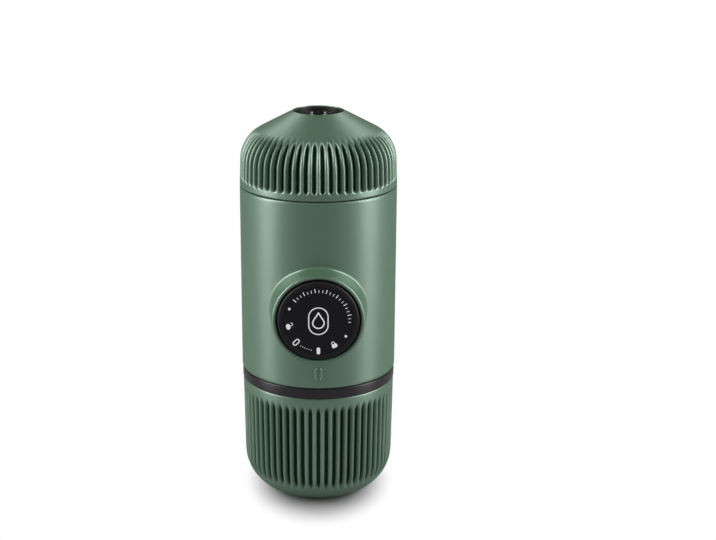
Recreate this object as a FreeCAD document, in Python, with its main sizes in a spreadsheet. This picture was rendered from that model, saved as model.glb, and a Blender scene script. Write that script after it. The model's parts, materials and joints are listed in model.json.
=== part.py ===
import FreeCAD, Part
import Sketcher
import math
import os

# Handheld manual espresso maker, standing on its water tank.
# Millimetres. +Z is up, the tank's axis is the Z axis, the base is at z = 0, and the pump knob faces -Y.

os.makedirs("parts", exist_ok=True)
doc = FreeCAD.newDocument("EspressoMaker")
sheet = doc.addObject("Spreadsheet::Sheet", "Sizes")
sheet_rows = []
subparts = []
V = FreeCAD.Vector
FULL_TURN = 360


class Dim:
    """A size with its value and the words that bind it to the sheet."""

    def __init__(self, value, text):
        self.value = value
        self.text = text

    def __add__(self, other):
        other = as_dim(other)
        return Dim(self.value + other.value, "(" + self.text + " + " + other.text + ")")

    def __sub__(self, other):
        other = as_dim(other)
        return Dim(self.value - other.value, "(" + self.text + " - " + other.text + ")")

    def __mul__(self, other):
        other = as_dim(other)
        return Dim(self.value * other.value, "(" + self.text + " * " + other.text + ")")

    def __truediv__(self, other):
        other = as_dim(other)
        return Dim(self.value / other.value, "(" + self.text + " / " + other.text + ")")


def as_dim(number):
    if isinstance(number, Dim):
        return number
    return Dim(float(number), repr(number))


def size(alias, value):
    """Put one driving dimension in the sheet and return it."""
    cell = "B" + str(len(sheet_rows) + 1)
    sheet.set("A" + str(len(sheet_rows) + 1), alias)
    sheet.set(cell, str(value))
    sheet.setAlias(cell, alias)
    sheet_rows.append(alias)
    return Dim(float(value), "Sizes." + alias)


# Clearances and walls shared by many pieces
gap = size("assembly_gap", 0.3)
fit = size("running_fit", 0.05)
wall = size("shell_wall", 2.4)
seam = size("seam_gap", 0.4)
edge_break = size("edge_break", 0.5)

# Water tank
base_inset = size("tank_base_inset", 10.4)
corner_round = size("tank_corner_round", 16)
corner_height = size("tank_corner_height", 15)
tank_draft = size("tank_wall_draft", 0.6)
rim_inset = size("tank_rim_inset", 0.3)
tank_height = size("tank_shell_height", 47.6)
ring_height = size("ring_height", 4.2)
ring_inset = size("ring_inset", 0.2)
vessel_wall = size("vessel_wall", 2.0)
vessel_floor = size("vessel_floor_height", 6.5)

# Main body
body_radius = size("body_radius", 31)
body_height = size("body_height", 74.5)
neck_depth = size("neck_engagement", 9.8)
neck_wall = size("neck_wall", 2)
bulkhead = size("bulkhead_thickness", 4)
rod_inset = size("tie_rod_inset", 3.3)
tie_rod = size("tie_rod_radius", 1.5)
saddle_width = size("saddle_width", 15)
strainer_radius = size("strainer_radius", 3.6)
strainer_height = size("strainer_height", 3.2)
strainer_slot = size("strainer_slot_width", 0.8)
strainer_pitch = size("strainer_slot_pitch", 2)
flap_radius = size("air_flap_radius", 3.6)
flap_thick = size("air_flap_thickness", 1)
button_radius = size("air_button_radius", 2.1)

# Outlet head
dome_wall_height = size("dome_wall_height", 9.7)
dome_draft = size("dome_draft", 0.35)
dome_round = size("dome_shoulder_round", 13.7)
dome_slope = size("dome_cone_angle", 28)
mouth_radius = size("dome_mouth_radius", 9.9)

# Grip grooves
groove_count = size("groove_count", 60)
groove_width = size("groove_width", 1.8)
groove_depth = size("groove_depth", 1.1)
groove_taper = size("groove_taper", 5)
groove_run_in = size("groove_run_in", 1.3)
tank_groove_low = size("tank_groove_low", 9)
tank_groove_margin = size("tank_groove_margin", 4.9)
dome_groove_low = size("dome_groove_low", 3)
dome_groove_high = size("dome_groove_high", 21.4)
dome_groove_in = size("dome_groove_end_in", 2.6)
dome_groove_drop = size("dome_groove_end_drop", 4.4)
dome_groove_out = size("dome_groove_end_out", 2.2)

# Pump and piston, along the Y axis at the knob's height
knob_rise = size("knob_rise", 30.8)
knob_radius = size("knob_radius", 15.75)
knob_proud = size("knob_proud", 8.6)
knob_thick = size("knob_thickness", 4)
knob_round = size("knob_edge_round", 1.6)
dial_margin = size("dial_margin", 2.15)
dial_thick = size("dial_thickness", 1)
dial_recess = size("dial_recess", 0.1)
knob_step = size("knob_step_over_boss", 0.5)
boss_width = size("boss_width", 2.5)
boss_spread = size("boss_spread", 2)
boss_bury = size("boss_bury", 7.6)
boss_bevel = size("boss_inner_bevel", 1.2)
mark_half_width = size("index_mark_half_width", 0.8)
mark_straight = size("index_mark_straight", 2.5)
mark_bead = size("index_mark_bead", 0.7)
mark_proud = size("index_mark_proud", 0.25)
mark_drop = size("index_mark_drop", 24.8)
skirt_inset = size("skirt_inset", 0.85)
skirt_wall = size("skirt_wall", 2)
skirt_length = size("skirt_length", 24)
stroke = size("piston_stroke", 18)
lock_turn = size("lock_turn", 45)
pin_radius = size("lock_pin_radius", 1.4)
pin_clearance = size("lock_pin_clearance", 0.7)
window_margin = size("sleeve_window_margin", 7)
barrel_bore = size("barrel_bore_radius", 8)
barrel_wall = size("barrel_wall", 2.5)
barrel_front = size("barrel_front", 8)
head_depth = size("valve_head_depth", 10)
flange_thick = size("barrel_flange_thickness", 3.5)
flange_radius = size("rear_flange_radius", 14)
pump_inset = size("pump_rear_inset", 1.3)
rod_radius = size("piston_rod_radius", 4)
head_length = size("piston_head_length", 4)
head_rest = size("piston_head_rest_gap", 1.5)
ring_section = size("piston_ring_groove_half", 0.9)
ring_room = size("piston_ring_side_room", 0.2)
ring_depth = size("piston_ring_depth", 1.3)
ring_groove = size("piston_ring_groove_depth", 1.4)
washer_thick = size("thrust_washer_thickness", 0.8)
spring_radius = size("return_spring_radius", 9.4)
spring_wire = size("return_spring_wire", 0.7)
screw_radius = size("screw_radius", 1.1)
screw_head = size("screw_head_radius", 2)
screw_cap_height = size("screw_head_height", 1.6)
screw_dome = size("screw_dome_height", 0.6)
screw_across = size("head_screw_across", 9.6)
screw_up = size("head_screw_up", 7.2)

# Valves and water ways
port_inset = size("valve_axis_inset", 5)
block_half = size("valve_block_half_width", 5.5)
block_half_height = size("valve_block_half_height", 17)
chamber_radius = size("valve_chamber_radius", 3.6)
chamber_height = size("valve_chamber_height", 8)
passage = size("passage_radius", 1.5)
poppet_radius = size("poppet_radius", 2.9)
poppet_thick = size("poppet_thickness", 1)
poppet_edge = size("poppet_edge_thickness", 0.6)
poppet_top = size("poppet_top_radius", 1.75)
poppet_stem = size("poppet_stem_length", 1.6)
stem_radius = size("poppet_stem_radius", 0.8)
seat_thick = size("valve_seat_thickness", 2)
pipe_radius = size("pipe_radius", 2.4)
fitting_flange = size("fitting_flange", 1.5)
inlet_offset = size("inlet_offset", 6)

# Brewing parts
brew_drop = size("brew_plate_drop", 15.7)
brew_thick = size("brew_plate_thickness", 5)
spigot_wall = size("spigot_wall", 4.7)
spigot_height = size("spigot_height", 18)
pedestal = size("pedestal_height", 3)
outlet_way = size("outlet_way_y", 6)
screen_inset = size("screen_inset", 3.8)
screen_circle = size("screen_hole_circle", 11)
screen_thick = size("screen_thickness", 1)
screen_holes = size("screen_hole_count", 12)
gasket_height = size("brew_gasket_height", 3.4)
basket_rim_width = size("basket_rim_width", 2)
basket_rim_thick = size("basket_rim_thickness", 1)
basket_inner_circle = size("basket_inner_hole_circle", 6.7)
basket_outer_circle = size("basket_outer_hole_circle", 13.3)
basket_wall = size("basket_wall", 0.8)
basket_height = size("basket_height", 22)
basket_room = size("basket_rim_room", 0.4)
skirt_cover = size("portafilter_skirt_cover", 8.7)
skirt_thick = size("portafilter_skirt_wall", 1.1)
collar_wall = size("collar_wall", 1)
funnel_step = size("funnel_step", 4)
holder_wall = size("holder_wall", 2)
recess_depth = size("spout_recess_depth", 6.66)
spout_radius = size("spout_radius", 5.5)
spout_drop = size("spout_drop", 1.26)
spout_stem = size("spout_stem_radius", 4)
stem_wall = size("spout_stem_wall", 0.8)
nozzle_bore = size("nozzle_bore_radius", 2.1)

# Radii and heights worked out from the sizes above
tank_rim = body_radius - rim_inset
tank_foot_wall = tank_rim - tank_draft
base_radius = tank_foot_wall - base_inset
ring_radius = body_radius - ring_inset
tank_groove_high = tank_height - tank_groove_margin
ring_top = tank_height + ring_height
body_low = ring_top + seam
body_top = body_low + body_height
dome_low = body_top + seam
dome_knee = dome_low + dome_wall_height
bulkhead_top = body_low + bulkhead
shell_bore = body_radius - wall
frame_radius = shell_bore - gap
vessel_bore = tank_rim - wall - gap - vessel_wall
neck_radius = vessel_bore - gap
rod_circle = frame_radius - rod_inset
brew_floor = body_top - brew_drop
brew_top = brew_floor + brew_thick
skirt_low = body_top - skirt_cover
spigot_radius = frame_radius - skirt_thick - gap
spigot_bore = spigot_radius - spigot_wall
screen_radius = spigot_bore - screen_inset
basket_rim = spigot_bore - basket_room
basket_radius = basket_rim - basket_rim_width

# The pump lies along Y behind the knob, and its rear end keeps clear of the shell
knob_height = body_low + knob_rise
knob_reach = body_radius + knob_proud
boss_reach = knob_reach - knob_step
boss_rim = knob_radius + boss_width
boss_root = shell_bore - boss_bury
skirt_radius = knob_radius - skirt_inset
dial_radius = knob_radius - dial_margin
pump_rear = frame_radius - pump_inset
barrel_back = pump_rear - head_depth
port_axis = pump_rear - port_inset
inlet_axis = port_axis - inlet_offset
block_low = knob_height - block_half_height
block_high = knob_height + block_half_height

doc.recompute()


def check(obj):
    if "Invalid" in obj.State or "Error" in obj.State:
        raise RuntimeError(obj.Label + " failed: " + str(obj.State))


def origin_plane(body, role):
    for feature in body.Origin.OriginFeatures:
        if feature.Role == role:
            return feature
    raise RuntimeError("no plane " + role)


def bind(obj, name, dim):
    obj.setExpression(name, dim.text)


def outline(sketch, points):
    """Draw a closed outline. A point is (across, up) and may add an arc to the next point.

    The arc is (radius, side): side 1 bulges to the right of the way the outline goes, and -1 to the left.
    """
    places = [(as_dim(point[0]), as_dim(point[1])) for point in points]
    count = len(points)
    for i in range(count):
        start = V(places[i][0].value, places[i][1].value, 0)
        end_place = places[(i + 1) % count]
        end = V(end_place[0].value, end_place[1].value, 0)
        if len(points[i]) == 2:
            sketch.addGeometry(Part.LineSegment(start, end))
        else:
            sketch.addGeometry(arc_between(start, end, points[i][2].value, points[i][3]))
    arc_start = {}
    for i in range(count):
        if len(points[i]) == 2:
            arc_start[i] = (1, 2)
        else:
            arc_start[i] = (1, 2) if points[i][3] > 0 else (2, 1)
    for i in range(count):
        nxt = (i + 1) % count
        sketch.addConstraint(Sketcher.Constraint("Coincident", i, arc_start[i][1], nxt, arc_start[nxt][0]))
    for i in range(count):
        first = arc_start[i][0]
        for kind, dim, letter in (("DistanceX", places[i][0], "x"), ("DistanceY", places[i][1], "y")):
            index = sketch.addConstraint(Sketcher.Constraint(kind, -1, 1, i, first, dim.value))
            sketch.renameConstraint(index, letter + str(i))
            if "Sizes." in dim.text:
                sketch.setExpression(".Constraints." + letter + str(i), dim.text)
        if len(points[i]) > 2:
            index = sketch.addConstraint(Sketcher.Constraint("Radius", i, points[i][2].value))
            sketch.renameConstraint(index, "round" + str(i))
            sketch.setExpression(".Constraints.round" + str(i), points[i][2].text)


def arc_between(start, end, radius, side):
    """The short arc of this radius from start to end. An arc is stored turning left."""
    middle = (start + end) * 0.5
    along = end - start
    half = along.Length / 2
    reach = math.sqrt(max(radius * radius - half * half, 0))
    left = V(-along.y, along.x, 0)
    left.normalize()
    if side > 0:
        centre = middle + left * reach
        first, last = start, end
    else:
        centre = middle - left * reach
        first, last = end, start
    from_angle = math.atan2(first.y - centre.y, first.x - centre.x)
    to_angle = math.atan2(last.y - centre.y, last.x - centre.x)
    circle = Part.Circle(centre, V(0, 0, 1), radius)
    return Part.ArcOfCircle(circle, from_angle, to_angle)


def new_sketch(body, name, role):
    sketch = body.newObject("Sketcher::SketchObject", name)
    sketch.AttachmentSupport = [(origin_plane(body, role), "")]
    sketch.MapMode = "FlatFace"
    return sketch


def lathe(label, points):
    """A body turned about its own Z axis from an outline of (radius, height) points."""
    body = doc.addObject("PartDesign::Body", label)
    sketch = new_sketch(body, label + "_outline", "XZ_Plane")
    outline(sketch, points)
    turned = body.newObject("PartDesign::Revolution", label + "_turned")
    turned.Profile = sketch
    turned.ReferenceAxis = (sketch, ["V_Axis"])
    turned.Angle = FULL_TURN
    body.Tip = turned
    return body


def ring(label, inner, outer, low, high):
    """A plain turned ring or disc."""
    return lathe(label, [(inner, low), (outer, low), (outer, high), (inner, high)])


def grip_grooves(body, points):
    """Cut one groove into the front of a lathe body and repeat it around the axis."""
    sketch = new_sketch(body, body.Label + "_groove_side", "XZ_Plane")
    outline(sketch, points)
    pocket = body.newObject("PartDesign::Pocket", body.Label + "_groove")
    pocket.Profile = sketch
    pocket.SideType = "Symmetric"
    bind(pocket, "Length", groove_width)
    pattern = body.newObject("PartDesign::PolarPattern", body.Label + "_grooves")
    pattern.Originals = [pocket]
    pattern.Axis = (sketch, ["V_Axis"])
    pattern.Angle = FULL_TURN
    pattern.setExpression("Occurrences", groove_count.text)
    body.Tip = pattern


def rod(label, radius, length, across=0, depth=0, low=0):
    """An upright primitive cylinder standing at (across, depth, low)."""
    cylinder = doc.addObject("Part::Cylinder", label)
    bind(cylinder, "Radius", radius)
    bind(cylinder, "Height", as_dim(length))
    bind(cylinder, "Placement.Base.x", as_dim(across))
    bind(cylinder, "Placement.Base.y", as_dim(depth))
    bind(cylinder, "Placement.Base.z", as_dim(low))
    return cylinder


def rod_along_y(label, radius, length, start_y, height):
    """A primitive cylinder that runs towards +Y from start_y at this height."""
    cylinder = doc.addObject("Part::Cylinder", label)
    cylinder.Placement = FreeCAD.Placement(V(0, 0, 0), FreeCAD.Rotation(V(1, 0, 0), -90))
    bind(cylinder, "Radius", radius)
    bind(cylinder, "Height", as_dim(length))
    bind(cylinder, "Placement.Base.y", as_dim(start_y))
    bind(cylinder, "Placement.Base.z", as_dim(height))
    return cylinder


def block(label, long_x, long_y, long_z, low_x, low_y, low_z):
    """A primitive box from its lowest corner."""
    box = doc.addObject("Part::Box", label)
    bind(box, "Length", as_dim(long_x))
    bind(box, "Width", as_dim(long_y))
    bind(box, "Height", as_dim(long_z))
    bind(box, "Placement.Base.x", as_dim(low_x))
    bind(box, "Placement.Base.y", as_dim(low_y))
    bind(box, "Placement.Base.z", as_dim(low_z))
    return box


def joined(label, shapes):
    fuse = doc.addObject("Part::MultiFuse", label)
    fuse.Shapes = shapes
    return fuse


def less(label, base, tools):
    """What is left of base after the tools are cut from it."""
    tool = tools[0] if len(tools) == 1 else joined(label + "_tools", tools)
    cut = doc.addObject("Part::Cut", label)
    cut.Base = base
    cut.Tool = tool
    return cut


def hole_field(label, rings, low):
    """Upright round holes in rings of (radius, count), through a plate near this height."""
    copies = []
    for radius, count in rings:
        for step in range(count):
            hole = Part.makeCylinder(passage.value / 2, wall.value * 2, V(radius, 0, low))
            hole.rotate(V(0, 0, 0), V(0, 0, 1), FULL_TURN * step / count)
            copies.append(hole)
    field = doc.addObject("Part::Feature", label)
    field.Shape = Part.makeCompound(copies)
    return field


def keep(obj, label, pump_axis=False):
    """Name a finished sub-part. One made along the pump's axis is turned to face the front."""
    obj.Label = label
    if pump_axis:
        obj.Placement = FreeCAD.Placement(V(0, 0, 0), FreeCAD.Rotation(V(1, 0, 0), 90))
        bind(obj, "Placement.Base.y", pump_rear)
        bind(obj, "Placement.Base.z", knob_height)
    subparts.append(obj)
    return obj


# Water tank


def make_tank_shell():
    low_cavity = vessel_floor - vessel_wall - gap
    bore = tank_rim - wall
    shell = lathe("tank_shell", [
        (0, 0), (base_radius, 0, corner_round, 1), (tank_foot_wall, corner_height), (tank_rim, tank_height),
        (bore, tank_height), (bore, low_cavity + corner_height - wall),
        (bore - corner_height + wall, low_cavity), (0, low_cavity)])
    mid = (tank_foot_wall + tank_rim) / 2
    grip_grooves(shell, [
        (tank_foot_wall - groove_run_in, tank_groove_low), (tank_foot_wall - groove_depth, corner_height),
        (mid - groove_depth, tank_groove_high - groove_taper),
        (tank_rim, tank_groove_high), (tank_rim + wall, tank_groove_high),
        (tank_rim + wall, tank_groove_low)])
    return keep(shell, "tank_shell")


def make_tank_vessel():
    outer = vessel_bore + vessel_wall
    low = vessel_floor - vessel_wall
    corner = corner_height - wall
    vessel = lathe("tank_vessel", [
        (0, low), (outer - corner, low), (outer, low + corner), (outer, tank_height),
        (ring_radius, tank_height),
        (ring_radius, ring_top), (vessel_bore, ring_top), (vessel_bore, vessel_floor + corner),
        (vessel_bore - corner, vessel_floor), (0, vessel_floor)])
    return keep(vessel, "tank_vessel")


# Main body


def pill(label, half_width):
    """An upright pill shape that reaches from inside the shell to the index mark's face."""
    front = Dim(0, "0") - body_radius - mark_proud
    low = knob_height - mark_drop - mark_straight / 2
    depth = wall / 2
    foot = rod_along_y(label + "_low_end", half_width, depth, front, low)
    head = rod_along_y(label + "_high_end", half_width, depth, front, low + mark_straight)
    middle = block(label + "_middle", half_width * 2, depth, mark_straight, Dim(0, "0") - half_width,
                   front, low)
    return joined(label, [foot, head, middle])


def index_mark():
    """The raised outline under the knob, where the dial is read."""
    return less("index_mark", pill("mark_outside", mark_half_width + mark_bead),
                [pill("mark_inside", mark_half_width)])


def make_body_shell():
    """A tube with a raised boss round the knob and an opening for the piston sleeve."""
    shell = lathe("body_tube", [
        (shell_bore, body_low), (body_radius - edge_break, body_low), (body_radius, body_low + edge_break),
        (body_radius, body_top - edge_break), (body_radius - edge_break, body_top), (shell_bore, body_top)])
    boss = doc.addObject("Part::Cone", "boss_cone")
    boss.Placement = FreeCAD.Placement(V(0, 0, 0), FreeCAD.Rotation(V(1, 0, 0), 90))
    bind(boss, "Radius1", boss_rim + boss_spread)
    bind(boss, "Radius2", boss_rim)
    bind(boss, "Height", boss_reach - boss_root)
    bind(boss, "Placement.Base.y", Dim(0, "0") - boss_root)
    bind(boss, "Placement.Base.z", knob_height)
    room = rod("shell_room", shell_bore, body_height, 0, 0, body_low)
    proud = less("boss_and_mark", joined("boss_pair", [boss, index_mark()]), [room])
    whole = joined("shell_with_boss", [shell, proud])
    opening = rod_along_y("boss_opening", knob_radius + gap, body_radius + wall,
                          Dim(0, "0") - boss_reach - wall, knob_height)
    bevel = doc.addObject("Part::Cone", "boss_bevel")
    bevel.Placement = FreeCAD.Placement(V(0, 0, 0), FreeCAD.Rotation(V(1, 0, 0), 90))
    bind(bevel, "Radius1", knob_radius + gap)
    bind(bevel, "Radius2", boss_rim - edge_break / 2)
    bind(bevel, "Height", boss_bevel)
    bind(bevel, "Placement.Base.y", boss_bevel - boss_reach)
    bind(bevel, "Placement.Base.z", knob_height)
    return keep(less("opened_shell", whole, [opening, bevel]), "body_shell")


def make_tank_gasket():
    return keep(ring("tank_gasket", vessel_bore + gap, ring_radius - edge_break, ring_top, body_low),
                "tank_gasket")


def make_chassis():
    """The floor of the body, with the neck that enters the tank and two saddles under the pump barrel."""
    floor = rod("chassis_floor", frame_radius, bulkhead, 0, 0, body_low)
    neck = rod("chassis_neck", neck_radius, neck_depth + seam, 0, 0, ring_top - neck_depth)
    hollow = rod("chassis_hollow", neck_radius - neck_wall, neck_depth + seam, 0, 0, ring_top - neck_depth)
    saddle_height = knob_height - bulkhead_top
    saddles = []
    for name, place in (("front", flange_thick - barrel_front + gap),
                        ("rear", barrel_back - flange_thick * 2 - gap)):
        saddles.append(block("saddle_" + name, saddle_width, flange_thick,
                             saddle_height - barrel_bore + edge_break,
                             saddle_width / -2, place, bulkhead_top))
    cradle = rod_along_y("cradle", barrel_bore + barrel_wall + fit, barrel_back * 2,
                         Dim(0, "0") - barrel_back, knob_height)
    water_way = rod_along_y("floor_way", passage - edge_break, port_axis - inlet_axis, inlet_axis,
                            body_low + bulkhead / 2)
    way_up = rod("floor_way_up", passage - edge_break, bulkhead / 2, 0, port_axis, body_low + bulkhead / 2)
    way_down = rod("floor_way_down", passage - edge_break, bulkhead / 2 + edge_break, 0, inlet_axis,
                   body_low - edge_break)
    air_hole = rod("air_hole", passage, bulkhead, 0, Dim(0, "0") - inlet_axis, body_low)
    solid = joined("chassis_solid", [floor, neck] + saddles)
    return keep(less("chassis_cut", solid, [hollow, cradle, water_way, way_up, way_down, air_hole]),
                "chassis")


def make_inlet_strainer():
    """A slotted cap under the floor, over the water way."""
    low = body_low - strainer_height
    cap = rod("strainer_cap", strainer_radius, strainer_height, 0, inlet_axis, low)
    room = rod("strainer_room", strainer_radius - edge_break, strainer_height - edge_break, 0, inlet_axis,
               low + edge_break)
    slots = []
    for step in range(3):
        offset = strainer_pitch * (step - 1)
        slots.append(block("strainer_slot_" + str(step), strainer_slot, strainer_radius * 3,
                           strainer_height / 2,
                           offset - strainer_slot / 2, inlet_axis - strainer_radius * 1.5,
                           low - edge_break))
    return keep(less("strainer", cap, [room] + slots), "inlet_strainer")


def make_air_valve():
    """A mushroom of soft rubber in the floor that lets air into the tank."""
    valve = lathe("air_valve", [
        (0, body_low - flap_thick), (flap_radius, body_low - flap_thick / 2), (flap_radius, body_low),
        (passage - fit, body_low), (passage - fit, bulkhead_top), (button_radius, bulkhead_top),
        (button_radius, bulkhead_top + flap_thick), (0, bulkhead_top + flap_thick)])
    bind(valve, "Placement.Base.y", Dim(0, "0") - inlet_axis)
    return keep(valve, "air_valve")


def make_feed_tube():
    tube = ring("feed_tube", passage - edge_break, pipe_radius, bulkhead_top, block_low)
    bind(tube, "Placement.Base.y", port_axis)
    return keep(tube, "feed_tube")


def make_tie_rods():
    """Four rods that hold the brew plate to the floor of the body."""
    rods = []
    place = rod_circle * math.sqrt(0.5)
    for x_side, y_side in ((1, 1), (-1, 1), (-1, -1), (1, -1)):
        rods.append(rod("tie_rod", tie_rod, brew_floor - bulkhead_top, place * x_side, place * y_side,
                        bulkhead_top))
    return keep(joined("tie_rod_set", rods), "tie_rods")


def make_pump_barrel():
    back = pump_rear - barrel_back
    front = pump_rear + barrel_front
    outer = barrel_bore + barrel_wall
    sleeve_outer = knob_radius + gap - fit
    barrel = lathe("pump_barrel", [
        (barrel_bore, back), (flange_radius, back), (flange_radius, back + flange_thick),
        (outer, back + flange_thick), (outer, front - flange_thick), (sleeve_outer, front - flange_thick),
        (sleeve_outer, front), (barrel_bore, front)])
    return keep(barrel, "pump_barrel", pump_axis=True)


def make_guide_sleeve():
    """The liner that guides the piston, with two windows for the lock pins."""
    low = pump_rear + barrel_front
    length = knob_reach - knob_thick - gap - barrel_front
    outer = rod("sleeve_outer", knob_radius + gap - fit, length, 0, 0, low)
    bore = rod("sleeve_bore", skirt_radius + fit, length, 0, 0, low)
    pin_room = pin_radius + pin_clearance
    windows = []
    for step in range(2):
        start = FreeCAD.Rotation(V(0, 0, 1), step * FULL_TURN / 2 - window_margin.value)
        window = rod("sleeve_window", knob_radius + wall, stroke + pin_room * 2)
        window.Placement = FreeCAD.Placement(V(0, 0, 0), start)
        bind(window, "Placement.Base.z", pin_place() - pin_room)
        bind(window, "Angle", lock_turn + window_margin * 2)
        windows.append(window)
    return keep(less("sleeve", outer, [bore] + windows), "guide_sleeve", pump_axis=True)


def pin_place():
    """Height of the lock pins along the pump's axis, from the pump's rear."""
    return pump_rear + knob_reach - knob_thick - skirt_length + pin_radius * 2


def make_valve_head():
    """The pump's end block: two upright valve chambers joined to the bore by a passage."""
    plate = rod_along_y("head_plate", flange_radius, flange_thick, barrel_back, knob_height)
    depth = pump_rear - barrel_back
    tower = block("head_tower", block_half * 2, depth, block_high - block_low, Dim(0, "0") - block_half,
                  barrel_back,
                  block_low)
    inlet = rod("inlet_chamber", chamber_radius, chamber_height, 0, port_axis, block_low)
    outlet = rod("outlet_chamber", chamber_radius, chamber_height, 0, port_axis,
                 block_high - chamber_height)
    riser = rod("riser_passage", passage, block_high - block_low - chamber_height, 0, port_axis,
                block_low + wall)
    cross = rod_along_y("cross_passage", passage, port_axis - barrel_back, barrel_back, knob_height)
    holes = []
    for x_side, z_side in ((1, 1), (-1, 1), (-1, -1), (1, -1)):
        hole = rod_along_y("head_screw_hole", screw_radius + fit, flange_thick, barrel_back,
                           knob_height + screw_up * z_side)
        bind(hole, "Placement.Base.x", screw_across * x_side)
        holes.append(hole)
    solid = joined("head_solid", [plate, tower])
    return keep(less("head_cut", solid, [inlet, outlet, riser, cross] + holes), "valve_head")


def make_head_screws():
    screws = []
    for x_side, z_side in ((1, 1), (-1, 1), (-1, -1), (1, -1)):
        height = knob_height + screw_up * z_side
        shank = rod_along_y("screw_shank", screw_radius, flange_thick, barrel_back, height)
        cap = rod_along_y("screw_cap", screw_head, screw_cap_height, barrel_back + flange_thick, height)
        for piece in (shank, cap):
            bind(piece, "Placement.Base.x", screw_across * x_side)
        screws.append(joined("screw", [shank, cap]))
    return keep(joined("screw_set", screws), "head_screws")


def make_inlet_seat():
    seat = ring("inlet_seat", passage, chamber_radius - fit, block_low, block_low + seat_thick)
    bind(seat, "Placement.Base.y", port_axis)
    return keep(seat, "inlet_seat")


def poppet(label, seat_height):
    """A mushroom valve: a disc on its seat and a stem through the seat's hole."""
    valve = lathe(label, [
        (0, seat_height - poppet_stem), (stem_radius, seat_height - poppet_stem),
        (stem_radius, seat_height),
        (poppet_radius, seat_height), (poppet_radius, seat_height + poppet_edge),
        (poppet_top, seat_height + poppet_thick), (0, seat_height + poppet_thick)])
    bind(valve, "Placement.Base.y", port_axis)
    return keep(valve, label)


def make_outlet_fitting():
    flange = block_high + fitting_flange
    fitting = lathe("outlet_fitting", [
        (passage, block_high - seat_thick), (chamber_radius - fit, block_high - seat_thick),
        (chamber_radius - fit, block_high), (block_half - edge_break, block_high),
        (block_half - edge_break, flange),
        (passage, flange)])
    bind(fitting, "Placement.Base.y", port_axis)
    return keep(fitting, "outlet_fitting")


def make_riser_tube():
    tube = ring("riser_tube", passage - edge_break, pipe_radius, block_high + fitting_flange, brew_floor)
    bind(tube, "Placement.Base.y", port_axis)
    return keep(tube, "riser_tube")


def make_brew_plate():
    """The upper floor of the body, with the spigot that carries the outlet head."""
    plate = lathe("brew_plate_turned", [
        (0, brew_floor), (frame_radius, brew_floor), (frame_radius, brew_top), (spigot_radius, brew_top),
        (spigot_radius, brew_top + spigot_height), (spigot_bore, brew_top + spigot_height),
        (spigot_bore, brew_top + pedestal), (0, brew_top + pedestal)])
    way_up = rod("plate_way_up", passage - edge_break, brew_thick / 2, 0, port_axis, brew_floor)
    across = rod_along_y("plate_way", passage - edge_break, port_axis - outlet_way, outlet_way,
                         brew_floor + brew_thick / 2)
    out = rod("plate_way_out", passage - edge_break, brew_thick / 2 + pedestal, 0, outlet_way,
              brew_floor + brew_thick / 2)
    return keep(less("brew_plate_cut", plate, [way_up, across, out]), "brew_plate")


def make_shower_screen():
    low = brew_top + pedestal
    plate = rod("screen_plate", screen_radius, screen_thick, 0, 0, low)
    centre = rod("screen_centre", screw_radius + fit, screen_thick, 0, 0, low)
    holes = hole_field("screen_holes", ((screen_circle.value, int(screen_holes.value)),), low.value)
    return keep(less("screen", plate, [centre, holes]), "shower_screen")


def make_shower_screw():
    low = brew_top + pedestal
    screw = lathe("shower_screw", [
        (0, low), (screw_radius, low), (screw_radius, low + screen_thick), (screw_head, low + screen_thick),
        (screw_head, low + screen_thick + screw_dome), (0, low + screen_thick + screw_dome * 2)])
    return keep(screw, "shower_screw")


def make_brew_gasket():
    low = brew_top + pedestal
    return keep(ring("brew_gasket", screen_radius + gap, spigot_bore - fit, low, low + gasket_height),
                "brew_gasket")


def make_head_gasket():
    return keep(ring("head_gasket", shell_bore + fit * 2, body_radius - edge_break, body_top, dome_low),
                "head_gasket")


# Piston


def knob_back():
    return pump_rear + knob_reach - knob_thick


def make_knob_cap():
    face = pump_rear + knob_reach
    cap = lathe("knob_cap", [
        (0, knob_back()), (knob_radius, knob_back()), (knob_radius, face - knob_round, knob_round, 1),
        (knob_radius - knob_round, face), (dial_radius + fit, face),
        (dial_radius + fit, face - dial_recess - dial_thick), (0, face - dial_recess - dial_thick)])
    return keep(cap, "knob_cap", pump_axis=True)


def make_dial_insert():
    high = pump_rear + knob_reach - dial_recess
    return keep(ring("dial_insert", 0, dial_radius, high - dial_thick, high), "dial_insert", pump_axis=True)


def make_piston_skirt():
    return keep(ring("piston_skirt", skirt_radius - skirt_wall, skirt_radius, knob_back() - skirt_length,
                     knob_back()),
                "piston_skirt", pump_axis=True)


def make_lock_pins():
    """Two pins that stand out of the skirt into the windows of the sleeve."""
    pins = []
    for side in (0, 1):
        pin = doc.addObject("Part::Cylinder", "lock_pin")
        turn = FreeCAD.Rotation(V(0, 1, 0), 90 + side * 180)
        pin.Placement = FreeCAD.Placement(V(0, 0, 0), turn)
        bind(pin, "Radius", pin_radius)
        bind(pin, "Height", knob_radius - skirt_radius + edge_break / 2)
        bind(pin, "Placement.Base.x", (skirt_radius - edge_break / 2) * (1 - 2 * side))
        bind(pin, "Placement.Base.z", pin_place())
        pins.append(pin)
    bore = rod("pin_root", skirt_radius, skirt_length, 0, 0, knob_back() - skirt_length)
    return keep(less("pin_set", joined("pin_pair", pins), [bore]), "lock_pins", pump_axis=True)


def head_front():
    """Front face of the piston head, from the pump's rear."""
    return pump_rear - barrel_back + head_rest + head_length


def make_piston_rod():
    return keep(ring("piston_rod", 0, rod_radius, head_front(), knob_back()), "piston_rod", pump_axis=True)


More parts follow.
